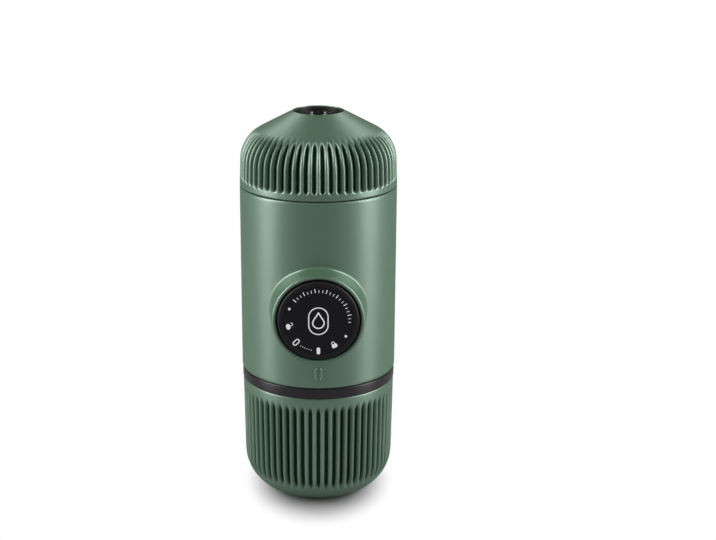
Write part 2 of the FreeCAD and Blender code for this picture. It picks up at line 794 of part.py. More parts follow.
def make_piston_head():
    """The piston's head, with the groove for its ring."""
    rear = pump_rear - barrel_back + head_rest
    outer = barrel_bore - fit * 2
    middle = rear + head_length / 2
    floor = outer - ring_groove
    head = lathe("piston_head", [
        (0, rear), (outer, rear), (outer, middle - ring_section), (floor, middle - ring_section),
        (floor, middle + ring_section), (outer, middle + ring_section), (outer, rear + head_length),
        (0, rear + head_length)])
    return keep(head, "piston_head", pump_axis=True)


def make_piston_ring():
    """The O-ring, flattened where the bore presses it."""
    middle = pump_rear - barrel_back + head_rest + head_length / 2
    outer = barrel_bore - fit
    half = ring_section - ring_room
    return keep(ring("piston_ring", outer - ring_depth, outer, middle - half, middle + half), "piston_ring",
                pump_axis=True)


def make_thrust_washer():
    high = knob_back() - gap
    return keep(ring("thrust_washer", rod_radius + gap, skirt_radius - skirt_wall - gap,
                     high - washer_thick, high),
                "thrust_washer", pump_axis=True)


def make_return_spring():
    """The coil that pushes the piston out, drawn as the tube that it fills."""
    high = knob_back() - gap * 2 - washer_thick
    return keep(ring("return_spring", spring_radius - spring_wire, spring_radius + spring_wire,
                     pump_rear + barrel_front, high), "return_spring", pump_axis=True)


# Filter basket


def basket_low():
    return brew_top + pedestal + gasket_height


def make_filter_basket():
    """A cup, mouth down, with a rim that presses on the brew gasket and a perforated floor on top."""
    low = basket_low()
    top = low + basket_height
    inner = basket_radius - basket_wall
    basket = lathe("filter_basket_turned", [
        (inner, low), (basket_rim, low), (basket_rim, low + basket_rim_thick),
        (basket_radius, low + basket_rim_thick),
        (basket_radius, top - edge_break), (basket_radius - edge_break, top), (0, top),
        (0, top - basket_wall), (inner, top - basket_wall)])
    holes = hole_field("basket_holes", ((basket_inner_circle.value, 6), (basket_outer_circle.value, 12)),
                       top.value - wall.value)
    return keep(less("filter_basket_cut", basket, [holes]), "filter_basket")


# Outlet head


def knee_point(inset, share=1):
    """The point this share of the way round the shoulder, for a surface this far inside the dome."""
    angle = math.radians(90 - dome_slope.value) * share
    turn = "((90 - " + dome_slope.text + ") * " + repr(share) + " * 1 deg)"
    lean = Dim(math.cos(angle), "cos" + turn)
    rise = Dim(math.sin(angle), "sin" + turn)
    centre = body_radius - dome_draft - dome_round
    arc = dome_round - inset
    return (centre + arc * lean, dome_knee + arc * rise)


def cone_height(radius, inset):
    """Height of the cone's surface at this radius, for a surface this far inside the dome."""
    knee = knee_point(inset)
    steep = Dim(math.tan(math.radians(dome_slope.value)), "tan(" + dome_slope.text + " * 1 deg)")
    return knee[1] + (knee[0] - radius) * steep


def make_head_shell():
    """The ribbed dome: a wall with draft, a round shoulder and a cone up to the mouth."""
    outer_knee = knee_point(as_dim(0))
    inner_knee = knee_point(wall)
    inner_half = knee_point(wall, 0.5)
    inner_wall = body_radius - dome_draft - wall
    shell = lathe("head_shell", [
        (body_radius - edge_break / 2, dome_low), (body_radius, dome_low + edge_break / 2),
        (body_radius - dome_draft, dome_knee, dome_round, 1),
        (outer_knee[0], outer_knee[1]), (mouth_radius, cone_height(mouth_radius, as_dim(0))),
        (mouth_radius, cone_height(mouth_radius, wall)), (inner_knee[0], inner_knee[1]),
        (inner_half[0], inner_half[1]), (inner_wall, dome_knee), (shell_bore, dome_low)])
    low = dome_low + dome_groove_low
    high = dome_low + dome_groove_high
    side = body_radius - dome_draft - groove_depth
    grip_grooves(shell, [
        (body_radius, low), (side, low + groove_depth), (side, dome_knee + groove_depth),
        (outer_knee[0] + dome_groove_in, outer_knee[1] - dome_groove_drop),
        (outer_knee[0] + dome_groove_out, high), (body_radius + wall, high), (body_radius + wall, low)])
    shell.Placement = FreeCAD.Placement(V(0, 0, 0), FreeCAD.Rotation(V(0, 0, 1), 0))
    shell.setExpression("Placement.Rotation.Angle", "180 deg / " + groove_count.text)
    return keep(shell, "head_shell")


def make_portafilter():
    """The black core of the head: skirt over the spigot, basket holder, funnel and recess for the spout."""
    skin = wall + gap
    knee = knee_point(skin)
    half = knee_point(skin, 0.5)
    side = body_radius - dome_draft - skin
    collar = mouth_radius - gap
    holder = basket_radius + gap
    basket_top = basket_low() + basket_height + gap
    spigot_end = brew_top + spigot_height + gap
    funnel_top = basket_top + holder_wall
    core = lathe("portafilter", [
        (spigot_radius + gap, skirt_low), (frame_radius, skirt_low), (frame_radius, dome_low),
        (side, dome_knee), (half[0], half[1]), (knee[0], knee[1]), (collar, cone_height(collar, skin)),
        (collar, cone_height(collar, wall / 2)), (collar - collar_wall, cone_height(collar, wall / 2)),
        (collar - collar_wall, recess_floor()), (spout_stem, recess_floor()), (spout_stem, funnel_top),
        (holder - funnel_step, basket_top), (holder, basket_top), (holder, spigot_end),
        (spigot_radius + gap, spigot_end)])
    return keep(core, "portafilter")


def mouth_top():
    return cone_height(mouth_radius, as_dim(0))


def recess_floor():
    """Floor of the recess round the nozzle, under the mouth."""
    return mouth_top() - recess_depth


def spout_low():
    return basket_low() + basket_height + gap + holder_wall


def make_spout():
    """The nozzle in the dome's mouth, with the crema valve's chamber inside."""
    stem = spout_stem - fit
    chamber = stem - stem_wall
    floor = recess_floor()
    top = mouth_top() - spout_drop
    spout = lathe("spout", [
        (chamber, spout_low()), (stem, spout_low()), (stem, floor), (spout_radius, floor),
        (spout_radius, top - edge_break), (spout_radius - edge_break, top), (nozzle_bore, top),
        (nozzle_bore, floor + wall), (chamber, floor + wall)])
    return keep(spout, "spout")


def crema_seat_top():
    return spout_low() + seat_thick / 2


def make_crema_seat():
    outer = spout_stem - stem_wall - fit * 2
    return keep(ring("crema_seat", passage, outer, spout_low(), crema_seat_top()), "crema_seat")


def make_crema_valve():
    """The small mushroom that holds back the brew until the pressure has built up."""
    valve = poppet("crema_valve", crema_seat_top())
    bind(valve, "Placement.Base.y", Dim(0, "0"))


make_tank_shell()
make_tank_vessel()
make_body_shell()
make_tank_gasket()
make_chassis()
make_inlet_strainer()
make_air_valve()
make_feed_tube()
make_tie_rods()
make_pump_barrel()
make_guide_sleeve()
make_valve_head()
make_head_screws()
make_inlet_seat()
poppet("inlet_valve", block_low + seat_thick)
poppet("outlet_valve", block_high - chamber_height)
make_outlet_fitting()
make_riser_tube()
make_brew_plate()
doc.recompute()
make_shower_screen()
make_shower_screw()
make_brew_gasket()
make_head_gasket()
make_knob_cap()
make_dial_insert()
make_piston_skirt()
make_lock_pins()
make_piston_rod()
make_piston_head()
make_piston_ring()
make_thrust_washer()
make_return_spring()
make_filter_basket()
make_head_shell()
make_portafilter()
make_spout()
make_crema_seat()
make_crema_valve()
doc.recompute()

for obj in doc.Objects:
    check(obj)
for part in subparts:
    if part.Shape.isNull() or not part.Shape.isValid():
        raise RuntimeError(part.Label + " has no valid shape")
for part in subparts:
    part.Shape.exportStep("parts/" + part.Label + ".step")
    print(part.Label, "solids", len(part.Shape.Solids), "volume", round(part.Shape.Volume, 1))
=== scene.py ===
# %% [markdown]
# A hand-pumped espresso maker stands on its water tank, and the outlet head is on top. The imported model
# gives every piece at its real place. This lesson dresses it: the moulded green shells, the black knob with
# its printed dial, the dark ring over the tank and the glossy nozzle in the mouth of the head.
#
# Lengths on the object are written in millimetres and turned to metres once, where a mesh is made. The
# camera, the lamps and the floor are placed in metres.

# %% Load the frame
import json
import math

import bmesh
import bpy
import numpy as np
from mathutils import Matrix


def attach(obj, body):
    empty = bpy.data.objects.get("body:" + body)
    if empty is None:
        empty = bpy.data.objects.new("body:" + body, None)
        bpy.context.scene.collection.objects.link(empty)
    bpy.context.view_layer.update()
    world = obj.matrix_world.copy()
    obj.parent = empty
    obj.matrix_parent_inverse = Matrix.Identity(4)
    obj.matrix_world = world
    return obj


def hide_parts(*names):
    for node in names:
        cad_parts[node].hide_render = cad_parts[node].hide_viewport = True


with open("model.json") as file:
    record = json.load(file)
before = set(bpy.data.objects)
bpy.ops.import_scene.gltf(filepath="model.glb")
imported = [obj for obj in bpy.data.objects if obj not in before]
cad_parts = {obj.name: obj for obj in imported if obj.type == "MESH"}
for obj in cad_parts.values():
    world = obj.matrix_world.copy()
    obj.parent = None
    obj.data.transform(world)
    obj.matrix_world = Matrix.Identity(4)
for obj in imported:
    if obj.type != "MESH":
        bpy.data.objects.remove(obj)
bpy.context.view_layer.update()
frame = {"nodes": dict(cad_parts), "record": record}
MM = 0.001
TURN = 2 * np.pi

# %% [markdown]
# The photograph was taken with a long lens from a little above, with the object left of the middle. A
# camera turned sideways would make the object lean. This one looks straight at the object's axis, and the
# sideways place comes from the lens shift.

# %% Camera
AIM_HEIGHT = 0.091
CAMERA_DISTANCE = 0.5712
CAMERA_ELEVATION = 0.30001
LENS = 71.47
SENSOR_WIDTH = 36
SHIFT_X = 0.0553

camera_data = bpy.data.cameras.new("camera")
camera_data.lens = LENS
camera_data.sensor_width = SENSOR_WIDTH
camera_data.shift_x = SHIFT_X
camera = bpy.data.objects.new("camera", camera_data)
bpy.context.collection.objects.link(camera)
camera.location = (0, -CAMERA_DISTANCE * math.cos(CAMERA_ELEVATION),
                   AIM_HEIGHT + CAMERA_DISTANCE * math.sin(CAMERA_ELEVATION))
camera.rotation_euler = (math.pi / 2 - CAMERA_ELEVATION, 0, 0)
bpy.context.scene.camera = camera
bpy.context.scene.view_settings.view_transform = "Standard"
print("camera at", tuple(camera.location))

# %% [markdown]
# Moulded plastic isn't one flat colour: it has a fine grain from the mould, and its sheen wanders a little.
# An image could carry that, but every piece would need a layout for it. Noise on Object coordinates needs
# none, and it stays on the piece when the piece moves.

# %% Colour and noise
NOISE_LOW = 0.3
NOISE_HIGH = 0.7
GREEN = (82, 116, 91)


def linear(colour):
    """The scene's linear value of an sRGB colour given from 0 to 255.

    A share up to 0.04045 is divided by 12.92. Above that it is ((share + 0.055) / 1.055) to the power 2.4.
    """
    share = np.asarray(colour, float) / 255
    return tuple(np.where(share <= 0.04045, share / 12.92, ((share + 0.055) / 1.055) ** 2.4)) + (1.0,)


def new_material(name):
    """A material with nodes: the material, its nodes, their links and the main shader."""
    material = bpy.data.materials.new(name)
    material.use_nodes = True
    nodes = material.node_tree.nodes
    return material, nodes, material.node_tree.links, nodes["Principled BSDF"]


def noise(nodes, links, scale, detail=2.0, stretch=None):
    """Noise at a piece's own coordinates, each of them times the stretch first where one is given."""
    place = nodes.new("ShaderNodeTexCoord").outputs["Object"]
    texture = nodes.new("ShaderNodeTexNoise")
    texture.inputs["Scale"].default_value = scale
    texture.inputs["Detail"].default_value = detail
    if stretch is not None:
        mapping = nodes.new("ShaderNodeMapping")
        mapping.inputs["Scale"].default_value = stretch
        links.new(place, mapping.inputs["Vector"])
        place = mapping.outputs["Vector"]
    links.new(place, texture.inputs["Vector"])
    return texture.outputs["Fac"]


def ranged(nodes, links, source, low, high):
    """Carry noise, which lies mostly between its two usual ends, to the range from low to high."""
    node = nodes.new("ShaderNodeMapRange")
    node.inputs["From Min"].default_value = NOISE_LOW
    node.inputs["From Max"].default_value = NOISE_HIGH
    node.inputs["To Min"].default_value = low
    node.inputs["To Max"].default_value = high
    links.new(source, node.inputs["Value"])
    return node.outputs["Result"]


print("the green's linear value:", linear(GREEN))

# %% [markdown]
# Nearly every piece has the same kind of surface, with another colour, sheen and grain. One function makes
# them all: a slow noise moves the tone, and a fine one moves the roughness and the bump. The green is a
# soft coat with a strong, slightly green sheen. Between the ribs the lamps alone leave the plastic too
# light, so the ribbed finish paints shade there: it reads from the mesh how deep each point lies and takes
# the tone and the sheen down by it. The printed ink gets a painted glow, a little light of its own.

# %% Finishes
DRIFT_SCALE = 45.0
SHEEN_WANDER = 0.04
GRAIN_HEIGHT = 0.0001
GREEN_ROUGH = 0.40
GREEN_COAT = {"grain": 0.10, "specular": 1.0, "ior": 2.0, "tint": (0.80, 1.0, 0.86)}
PAINTED_GROOVE_SHADE = 0.85


def paint_groove_shade(nodes, links, shader, tone, base, amount, specular):
    """Paint shade into the grooves: take the tone and the sheen down, by up to this amount, where the point
    attribute "sunk" is high.
    """
    sunk = nodes.new("ShaderNodeAttribute")
    sunk.attribute_name = "sunk"
    shade = nodes.new("ShaderNodeMix")
    shade.data_type = "RGBA"
    shade.inputs["B"].default_value = tuple(base[:3] * (1 - amount)) + (1.0,)
    links.new(sunk.outputs["Fac"], shade.inputs["Factor"])
    links.new(tone, shade.inputs["A"])
    links.new(shade.outputs["Result"], shader.inputs["Base Color"])
    sheen = nodes.new("ShaderNodeMapRange")
    sheen.inputs["To Min"].default_value = specular
    sheen.inputs["To Max"].default_value = specular * (1 - amount)
    links.new(sunk.outputs["Fac"], sheen.inputs["Value"])
    links.new(sheen.outputs["Result"], shader.inputs["Specular IOR Level"])


def grained(name, colour, roughness, grain=0.06, grain_size=2600, drift=0.05, metallic=0.0, specular=0.5,
            stretch=None, ior=1.5, tint=(1, 1, 1), painted_groove_shade=0.0, glow=0.0):
    """A moulded or drawn surface.

    The tone is the colour times 1 - drift to 1 + drift, by the slow noise. The roughness wanders round its
    value and the bump rises by the fine noise. A glow adds a share of the colour as painted light of its
    own, and a painted shade dims the grooves by the point attribute "sunk".
    """
    material, nodes, links, shader = new_material(name)
    shader.inputs["Metallic"].default_value = metallic
    shader.inputs["Specular IOR Level"].default_value = specular
    shader.inputs["Specular Tint"].default_value = (*tint, 1)
    shader.inputs["IOR"].default_value = ior
    shader.inputs["Emission Color"].default_value = linear(colour)
    # The glow is painted light: the colour shines by itself, though no lamp is there.
    shader.inputs["Emission Strength"].default_value = glow
    base = np.array(linear(colour))
    tone = nodes.new("ShaderNodeMix")
    tone.data_type = "RGBA"
    tone.inputs["A"].default_value = tuple(base[:3] * (1 - drift)) + (1.0,)
    tone.inputs["B"].default_value = tuple(base[:3] * (1 + drift)) + (1.0,)
    links.new(noise(nodes, links, DRIFT_SCALE), tone.inputs["Factor"])
    if painted_groove_shade:
        # Painted shade: the tone and the sheen go down where the point lies deep in a groove.
        paint_groove_shade(nodes, links, shader, tone.outputs["Result"], base, painted_groove_shade, specular)
    else:
        links.new(tone.outputs["Result"], shader.inputs["Base Color"])
    fine = noise(nodes, links, grain_size, 3.0, stretch)
    rough = ranged(nodes, links, fine, roughness - SHEEN_WANDER, roughness + SHEEN_WANDER)
    links.new(rough, shader.inputs["Roughness"])
    bump = nodes.new("ShaderNodeBump")
    bump.inputs["Strength"].default_value = grain
    bump.inputs["Distance"].default_value = GRAIN_HEIGHT
    links.new(fine, bump.inputs["Height"])
    links.new(bump.outputs["Normal"], shader.inputs["Normal"])
    return material


finishes = {
    "green": grained("green_moulded", GREEN, GREEN_ROUGH, **GREEN_COAT),
    # The ribbed green has shade painted into its grooves.
    "ribs": grained("green_ribbed_painted_shade", GREEN, GREEN_ROUGH, painted_groove_shade=PAINTED_GROOVE_SHADE, **GREEN_COAT),
    "ring": grained("satin_black", (42, 38, 44), 0.30),
    "frame": grained("matt_black", (30, 29, 31), 0.5),
    "knob": grained("knob_black", (32, 30, 35), 0.45, grain=0.14, specular=0.3),
    "dial": grained("dial_black", (27, 25, 31), 0.42, grain=0.05, specular=0.25),
    # The ink has a painted glow, light of its own that makes it whiter than the lamps do.
    "print": grained("printed_white_painted_glow", (246, 246, 248), 0.5, grain=0.02, drift=0.01, glow=0.32),
    "rubber": grained("soft_black", (17, 17, 18), 0.7, grain=0.1),
    "silicone": grained("clear_rubber", (205, 203, 196), 0.45, grain=0.05),
    "pump": grained("pump_grey", (168, 168, 165), 0.45),
    "steel": grained("brushed_steel", (190, 190, 188), 0.28, grain=0.12, grain_size=900, metallic=1.0,
                     stretch=(1, 1, 14)),
    "gloss": grained("nozzle_black", (13, 13, 15), 0.12, grain=0.02, specular=0.6),
}
print("finishes:", len(finishes))

# %% [markdown]
# Most of these pieces are round, so a profile carried round an axis describes them. A sharp corner in it
# would look like a razor's edge. A bevel on the finished mesh could soften it, but here each corner may
# give its own rounding, which is worked out once on the flat profile.

# %% Profiles
SIDE_SHARE = 0.49


def rounded(corners, steps=5):
    """Replace each corner (radius, height, rounding) by an arc tangent to both of its sides.

    Where half the angle between the sides is h, the arc starts rounding / tan(h) away from the corner on
    each side, and at most at the given share of the side's length.
    """
    points = np.array([corner[:2] for corner in corners], float)
    rounds = np.array([corner[2] if len(corner) > 2 else 0.0 for corner in corners])
    path = []
    for i, (here, size) in enumerate(zip(points, rounds)):
        if size == 0 or i in (0, len(points) - 1):
            path.append(here[None])
            continue
        back = points[i - 1] - here
        ahead = points[i + 1] - here
        back_length = np.linalg.norm(back)
        ahead_length = np.linalg.norm(ahead)
        back /= back_length
        ahead /= ahead_length
        half = np.arccos(np.clip(back @ ahead, -1, 1)) / 2
        reach = min(size / np.tan(half), SIDE_SHARE * back_length, SIDE_SHARE * ahead_length)
        radius = reach * np.tan(half)
        middle = back + ahead
        centre = here + middle / np.linalg.norm(middle) * np.hypot(reach, radius)
        start = here + back * reach - centre
        end = here + ahead * reach - centre
        sweep = np.arctan2(start[0] * end[1] - start[1] * end[0], start @ end)
        turn = np.linspace(0, sweep, steps + 1)
        cos, sin = np.cos(turn), np.sin(turn)
        arc = np.stack([start[0] * cos - start[1] * sin, start[0] * sin + start[1] * cos], 1)
        path.append(centre + arc)
    return np.concatenate(path)


print("points on a rounded square corner:", len(rounded([(0, 0), (9, 0, 2), (9, 9)])))

# %% [markdown]
# Every new piece is worked out as arrays of points and faces. Points that fall together are merged and
# slivers are taken out, so that seams and poles are closed. The faces are shaded smooth, and edges sharper
# than an angle stay sharp.

# %% Making a mesh
MERGE = 1e-6
SLIVER = 1e-7


def add_mesh(name, vertices, faces, finish, smooth_angle=40):
    """Make one object from arrays in millimetres, with doubles merged and its normals facing outwards."""
    mesh = bpy.data.meshes.new(name)
    mesh.from_pydata((np.asarray(vertices) * MM).tolist(), [], np.asarray(faces).tolist())
    work = bmesh.new()
    work.from_mesh(mesh)
    bmesh.ops.remove_doubles(work, verts=work.verts, dist=MERGE)
    bmesh.ops.dissolve_degenerate(work, edges=work.edges, dist=SLIVER)
    bmesh.ops.recalc_face_normals(work, faces=work.faces)
    work.to_mesh(mesh)
    work.free()
    mesh.polygons.foreach_set("use_smooth", np.ones(len(mesh.polygons), bool))
    mesh.set_sharp_from_angle(angle=math.radians(smooth_angle))
    piece = bpy.data.objects.new(name, mesh)
    bpy.context.collection.objects.link(piece)
    mesh.materials.append(finishes[finish])
    return piece


def grid_faces(rows, columns, wrap_rows=False, wrap_columns=True):
    """Quads between neighbouring points of a grid, where point (r, c) has the number r * columns + c."""
    row = np.arange(rows if wrap_rows else rows - 1)
    column = np.arange(columns if wrap_columns else columns - 1)
    r, c = np.meshgrid(row, column, indexing="ij")
    r2 = (r + 1) % rows
    c2 = (c + 1) % columns
    corners = [r * columns + c, r * columns + c2, r2 * columns + c2, r2 * columns + c]
    return np.stack(corners, -1).reshape(-1, 4)


print("faces in a closed grid of 4 rows by 6:", len(grid_faces(4, 6)))

# %% [markdown]
# A turned piece could be spun by a modifier from a drawn line. Its grid is as short to work out in numpy,
# and the same way of numbering carries the ribs later. Each piece then rides on its body and hides the
# imported mesh that it stands for.

# %% Turned pieces
ON_AXIS = 1e-6


def turned(name, path, finish, around=192, along_y=None):
    """A profile of (radius, height) turned about Z, or about the pump's axis, which lies at height along_y.

    A point is (r cos a, r sin a, height), and about the pump's axis (r cos a, -height, r sin a + along_y).
    """
    angle = np.linspace(0, TURN, around, endpoint=False)
    across = path[:, :1] * np.cos(angle)
    side = path[:, :1] * np.sin(angle)
    rise = np.broadcast_to(path[:, 1:], across.shape)
    if along_y is None:
        points = np.stack([across, side, rise], -1)
    else:
        points = np.stack([across, -rise, side + along_y], -1)
    on_axis = path[0, 0] < ON_AXIS and path[-1, 0] < ON_AXIS
    faces = grid_faces(len(path), around, wrap_rows=not on_axis)
    return add_mesh(name, points.reshape(-1, 3), faces, finish)


def dress(piece, body, slot, *nodes):
    """Let a piece ride on its body and hide the nodes that it stands for.

    The slot is not used.
    """
    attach(piece, body)
    if nodes:
        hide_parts(*nodes)
    print(piece.name, "faces", len(piece.data.polygons))
    return piece


# %% [markdown]
# The grips are sixty grooves round the tank and round the head. Booleans would cut them with hard ends, and
# most of the real ones run out softly. So two numbers describe them instead: how far a point is across the
# pitch, and how much of the full depth the groove has at its height. Between two grooves a land stands,
# whose foot moves out where the grooves fade.

# %% Place in a groove
GROOVES = 60
LAND = 0.75
FOOT_SHIFT = 0.18


def smooth_step(low, high, value):
    """0 up to low and 1 from high on; between them, with the share s of the way, s * s * (3 - 2 * s)."""
    share = np.clip((value - low) / (high - low), 0, 1)
    return share * share * (3 - 2 * share)


def groove_window(height, limits):
    """Share of the full depth at a height; four limits say where it starts, is full, leaves and ends."""
    start, full, leaving, end = limits
    return smooth_step(start, full, height) * (1 - smooth_step(leaving, end, height))


def groove_offset(angle, land_at_front):
    """Place of a direction across the pitch, from 0 in a groove's middle to 1 on a land's crest."""
    phase = (angle + np.pi / 2) / TURN * GROOVES + (0.5 if land_at_front else 0.0)
    return np.abs(phase - np.round(phase)) * 2


def from_crest(offset, fade):
    """Place across a land, from 0 on its crest to 1 at its foot: (1 - offset) over the half width.

    The half width grows by the foot's shift where the grooves fade.
    """
    half_width = LAND + FOOT_SHIFT * (1 - fade)
    return np.clip((1 - offset) / half_width, 0, 1)


print("a groove's flat floor takes", 1 - LAND, "of the pitch")

# %% [markdown]
# A land is a bar with a rounded crown that catches the light of both sides, and it falls away steeply to a
# flat floor, which lies in shade and also gets painted shade. Every point of a turned surface moves inwards
# by its depth, along the profile's own normal, so the grooves follow the tank's corner and the dome's
# shoulder. Merging puts a mesh's points in another order, so the depth of each is found again from its
# place and kept for the finish, which paints shade by it.

# %% Ribbed shells
GROOVE_DEPTH = 1.8
CROWN = 0.48
CROWN_POWER = 1.5
FLANK_POWER = 6
SHADE_POWER = 4
SAMPLES_PER_GROOVE = 16


def profile_normals(path):
    """Unit normals of a profile, to the right of the way it goes."""
    along = np.gradient(path, axis=0)
    along /= np.maximum(np.linalg.norm(along, axis=1), 1e-9)[:, None]
    return np.stack([along[:, 1], -along[:, 0]], 1)


def mark_grooves(piece, limits, land_at_front):
    """Keep at each point how deep it lies in a groove, which the finish turns into painted shade.

    The share is the fade times the place across, to a power.
    """
    mesh = piece.data
    place = np.empty(len(mesh.vertices) * 3, np.float32)
    mesh.vertices.foreach_get("co", place)
    x, y, z = (place.reshape(-1, 3) / MM).T
    fade = groove_window(z, limits)
    across = from_crest(groove_offset(np.arctan2(y, x), land_at_front), fade)
    # The depth share, which the ribbed finish turns into painted shade.
    layer = mesh.attributes.new("sunk", "FLOAT", "POINT")
    layer.data.foreach_set("value", (fade * across ** SHADE_POWER).astype(np.float32))


def ribbed(name, outer, inner, limits, land_at_front):
    """A turned shell with grooves in its outer profile.

    With t the place across a land, a point sinks by the depth times the fade times
    CROWN * t ** CROWN_POWER + (1 - CROWN) * t ** FLANK_POWER: a soft crown first, and then a steep flank.
    """
    around = GROOVES * SAMPLES_PER_GROOVE
    angle = np.linspace(0, TURN, around, endpoint=False)
    fade = groove_window(outer[:, 1], limits)[:, None]
    across = from_crest(groove_offset(angle, land_at_front)[None], fade)
    sunk = GROOVE_DEPTH * fade * (CROWN * across ** CROWN_POWER + (1 - CROWN) * across ** FLANK_POWER)
    normal = profile_normals(outer)
    outer_radius = outer[:, :1] - sunk * normal[:, :1]
    outer_height = outer[:, 1:] - sunk * normal[:, 1:]
    radius = np.concatenate([outer_radius, np.repeat(inner[:, :1], around, 1)])
    height = np.concatenate([outer_height, np.repeat(inner[:, 1:], around, 1)])
    points = np.stack([radius * np.cos(angle), radius * np.sin(angle), height], -1)
    faces = grid_faces(len(radius), around, wrap_rows=outer[0, 0] >= ON_AXIS)
    piece = add_mesh(name, points.reshape(-1, 3), faces, "ribs", smooth_angle=60)
    mark_grooves(piece, limits, land_at_front)
    return piece


print("points round a ribbed shell:", GROOVES * SAMPLES_PER_GROOVE)

# %% [markdown]
# The tank's shell has a flat base, a big round corner and a wall that opens very slightly towards the ring.
# Its grooves start on the corner and end a little under the rim in soft points, and one groove faces the
# front. The wall has many rows, because each row holds one depth of the grooves' ends.

# %% Tank shell
TANK_TOP = 47.6
TANK_GROOVES = (6.8, 10.8, 40.8, 44.4)
CORNER_CENTRE = np.array([14.1, 15.0])
CORNER_ROUND = 16.0
WALL_FOOT = (30.13, 15.8)
WALL_HEAD = (30.62, 46.6)

turn = np.radians(np.linspace(-69.5, 0, 26))
tank_outer = np.concatenate([
    [[0, 0], [10, 0], [18.9, 0], [19.45, 0.05]],
    CORNER_CENTRE + CORNER_ROUND * np.stack([np.cos(turn), np.sin(turn)], 1),
    np.linspace(WALL_FOOT, WALL_HEAD, 44),
    [[30.62, 47.2], [30.5, 47.48], [30.2, TANK_TOP]]])
tank_inner = rounded([(28.35, TANK_TOP), (28.35, 4.3, 12), (0, 4.3)], 6)
tank = ribbed("tank_skin", tank_outer, tank_inner, TANK_GROOVES, land_at_front=False)
dress(tank, "tank", "green_shell", "tank_shell")

# %% [markdown]
# The black vessel hangs in the shell by its flange, and the flange is the dark satin ring under the body.
# One closed profile gives the vessel's outside, the flange and its inside in a single turn.

# %% Vessel and ring
RING_TOP = 51.8

vessel_path = rounded([
    (0, 4.5), (28.0, 4.5, 13), (28.0, TANK_TOP), (30.8, TANK_TOP, 0.25), (30.8, RING_TOP, 0.45),
    (26.0, RING_TOP, 0.3), (26.0, 6.5, 11), (0, 6.5)])
vessel = turned("vessel_skin", vessel_path, "ring", 256)
dress(vessel, "tank", "black_vessel", "tank_vessel")

# %% [markdown]
# The outlet head's dome has a short wall, a round shoulder and a flat cone up to the mouth. Its grooves end
# square just above the seam and run out over the shoulder. The wall's rows lie close together where the
# grooves begin, because wide rows would turn those square ends into hooks of light.

# %% Dome
BODY_RADIUS = 31.0
INNER_RADIUS = 28.6
DOME_LOW = 127.1
DOME_GROOVES = (129.3, 130.9, 146.0, 149.3)
KNEE = 136.8
KNEE_RADIUS = 30.66
SHOULDER = 13.7
SHOULDER_INSET = 0.35
SLOPE = math.radians(28)
MOUTH = 9.9
DOME_WALL = 2.4
CLOSE_ROWS_TOP = 131.0
WIDE_ROWS_FOOT = 131.4


def dome_line(inset, steps):
    """The dome's profile, this far inside its outer face: the shoulder's arc and the end of the cone.

    The cone falls by tan(slope) for each millimetre away from the mouth.
    """
    turn = np.linspace(0, math.pi / 2 - SLOPE, steps)
    centre = BODY_RADIUS - SHOULDER_INSET - SHOULDER
    radius = SHOULDER - inset
    arc = np.stack([centre + radius * np.cos(turn), KNEE + radius * np.sin(turn)], 1)
    end = arc[-1]
    mouth = [MOUTH, end[1] + (end[0] - MOUTH) * math.tan(SLOPE)]
    return arc, np.array(mouth)


shoulder, mouth = dome_line(0, 40)
close_rows = np.linspace(DOME_LOW + 0.45, CLOSE_ROWS_TOP, 17)
wide_rows = np.linspace(WIDE_ROWS_FOOT, KNEE - 0.3, 11)
wall_heights = np.concatenate([close_rows, wide_rows])
wall_radii = np.interp(wall_heights, [DOME_LOW, KNEE], [BODY_RADIUS, KNEE_RADIUS])
wall = np.stack([wall_radii, wall_heights], 1)
lip = mouth + np.array([[0.35, -0.19], [0.16, -0.06], [0.03, -0.16], [0.0, -0.4]])
cone = shoulder[-1] + (lip[0] - shoulder[-1]) * np.linspace(0.08, 1, 14)[:, None]
dome_foot = [[30.6, DOME_LOW], [30.88, DOME_LOW + 0.12]]
dome_outer = np.concatenate([dome_foot, wall, shoulder, cone, lip[1:]])
inner_shoulder, inner_mouth = dome_line(DOME_WALL, 10)
inner_foot = [[INNER_RADIUS, DOME_LOW + 2], [INNER_RADIUS, DOME_LOW]]
dome_inner = np.concatenate([[inner_mouth], inner_shoulder[::-1], inner_foot])
dome = ribbed("dome_skin", dome_outer, dome_inner, DOME_GROOVES, land_at_front=True)
dress(dome, "outlet_head", "green_shell", "head_shell")

# %% [markdown]
# The body is a plain tube with a raised boss round the knob. A boolean could join the two, but it would
# leave a hard edge and ragged faces, and the real one has a soft hollow. So the tube is a grid in angle and
# height with a window left open at the front, and a second grid will fill the window.

# %% Tube with a window
BODY_LOW = 52.2
BODY_TOP = 126.7
EDGE = 0.45
EDGE_BEVEL = 0.13
KNOB_HEIGHT = 83.0
WINDOW_ANGLE = math.radians(60)
WINDOW_HALF = 27.0
WINDOW_CELLS = 64

tube_step = 2 * WINDOW_ANGLE / WINDOW_CELLS
tube_angles = -WINDOW_ANGLE + tube_step * np.arange(int(round(TURN / tube_step)))
window_rows = KNOB_HEIGHT + np.linspace(-WINDOW_HALF, WINDOW_HALF, WINDOW_CELLS + 1)
tube_rows = np.concatenate([[BODY_LOW + EDGE, 53.4], window_rows, [118, 125.4, BODY_TOP - EDGE]])


def on_tube(angle, height, radius):
    """Points (r sin a, -r cos a, height) on the tube, with angle 0 at the front and turning towards +X."""
    height = np.broadcast_to(height, angle.shape)
    return np.stack([radius * np.sin(angle), -radius * np.cos(angle), height], -1)


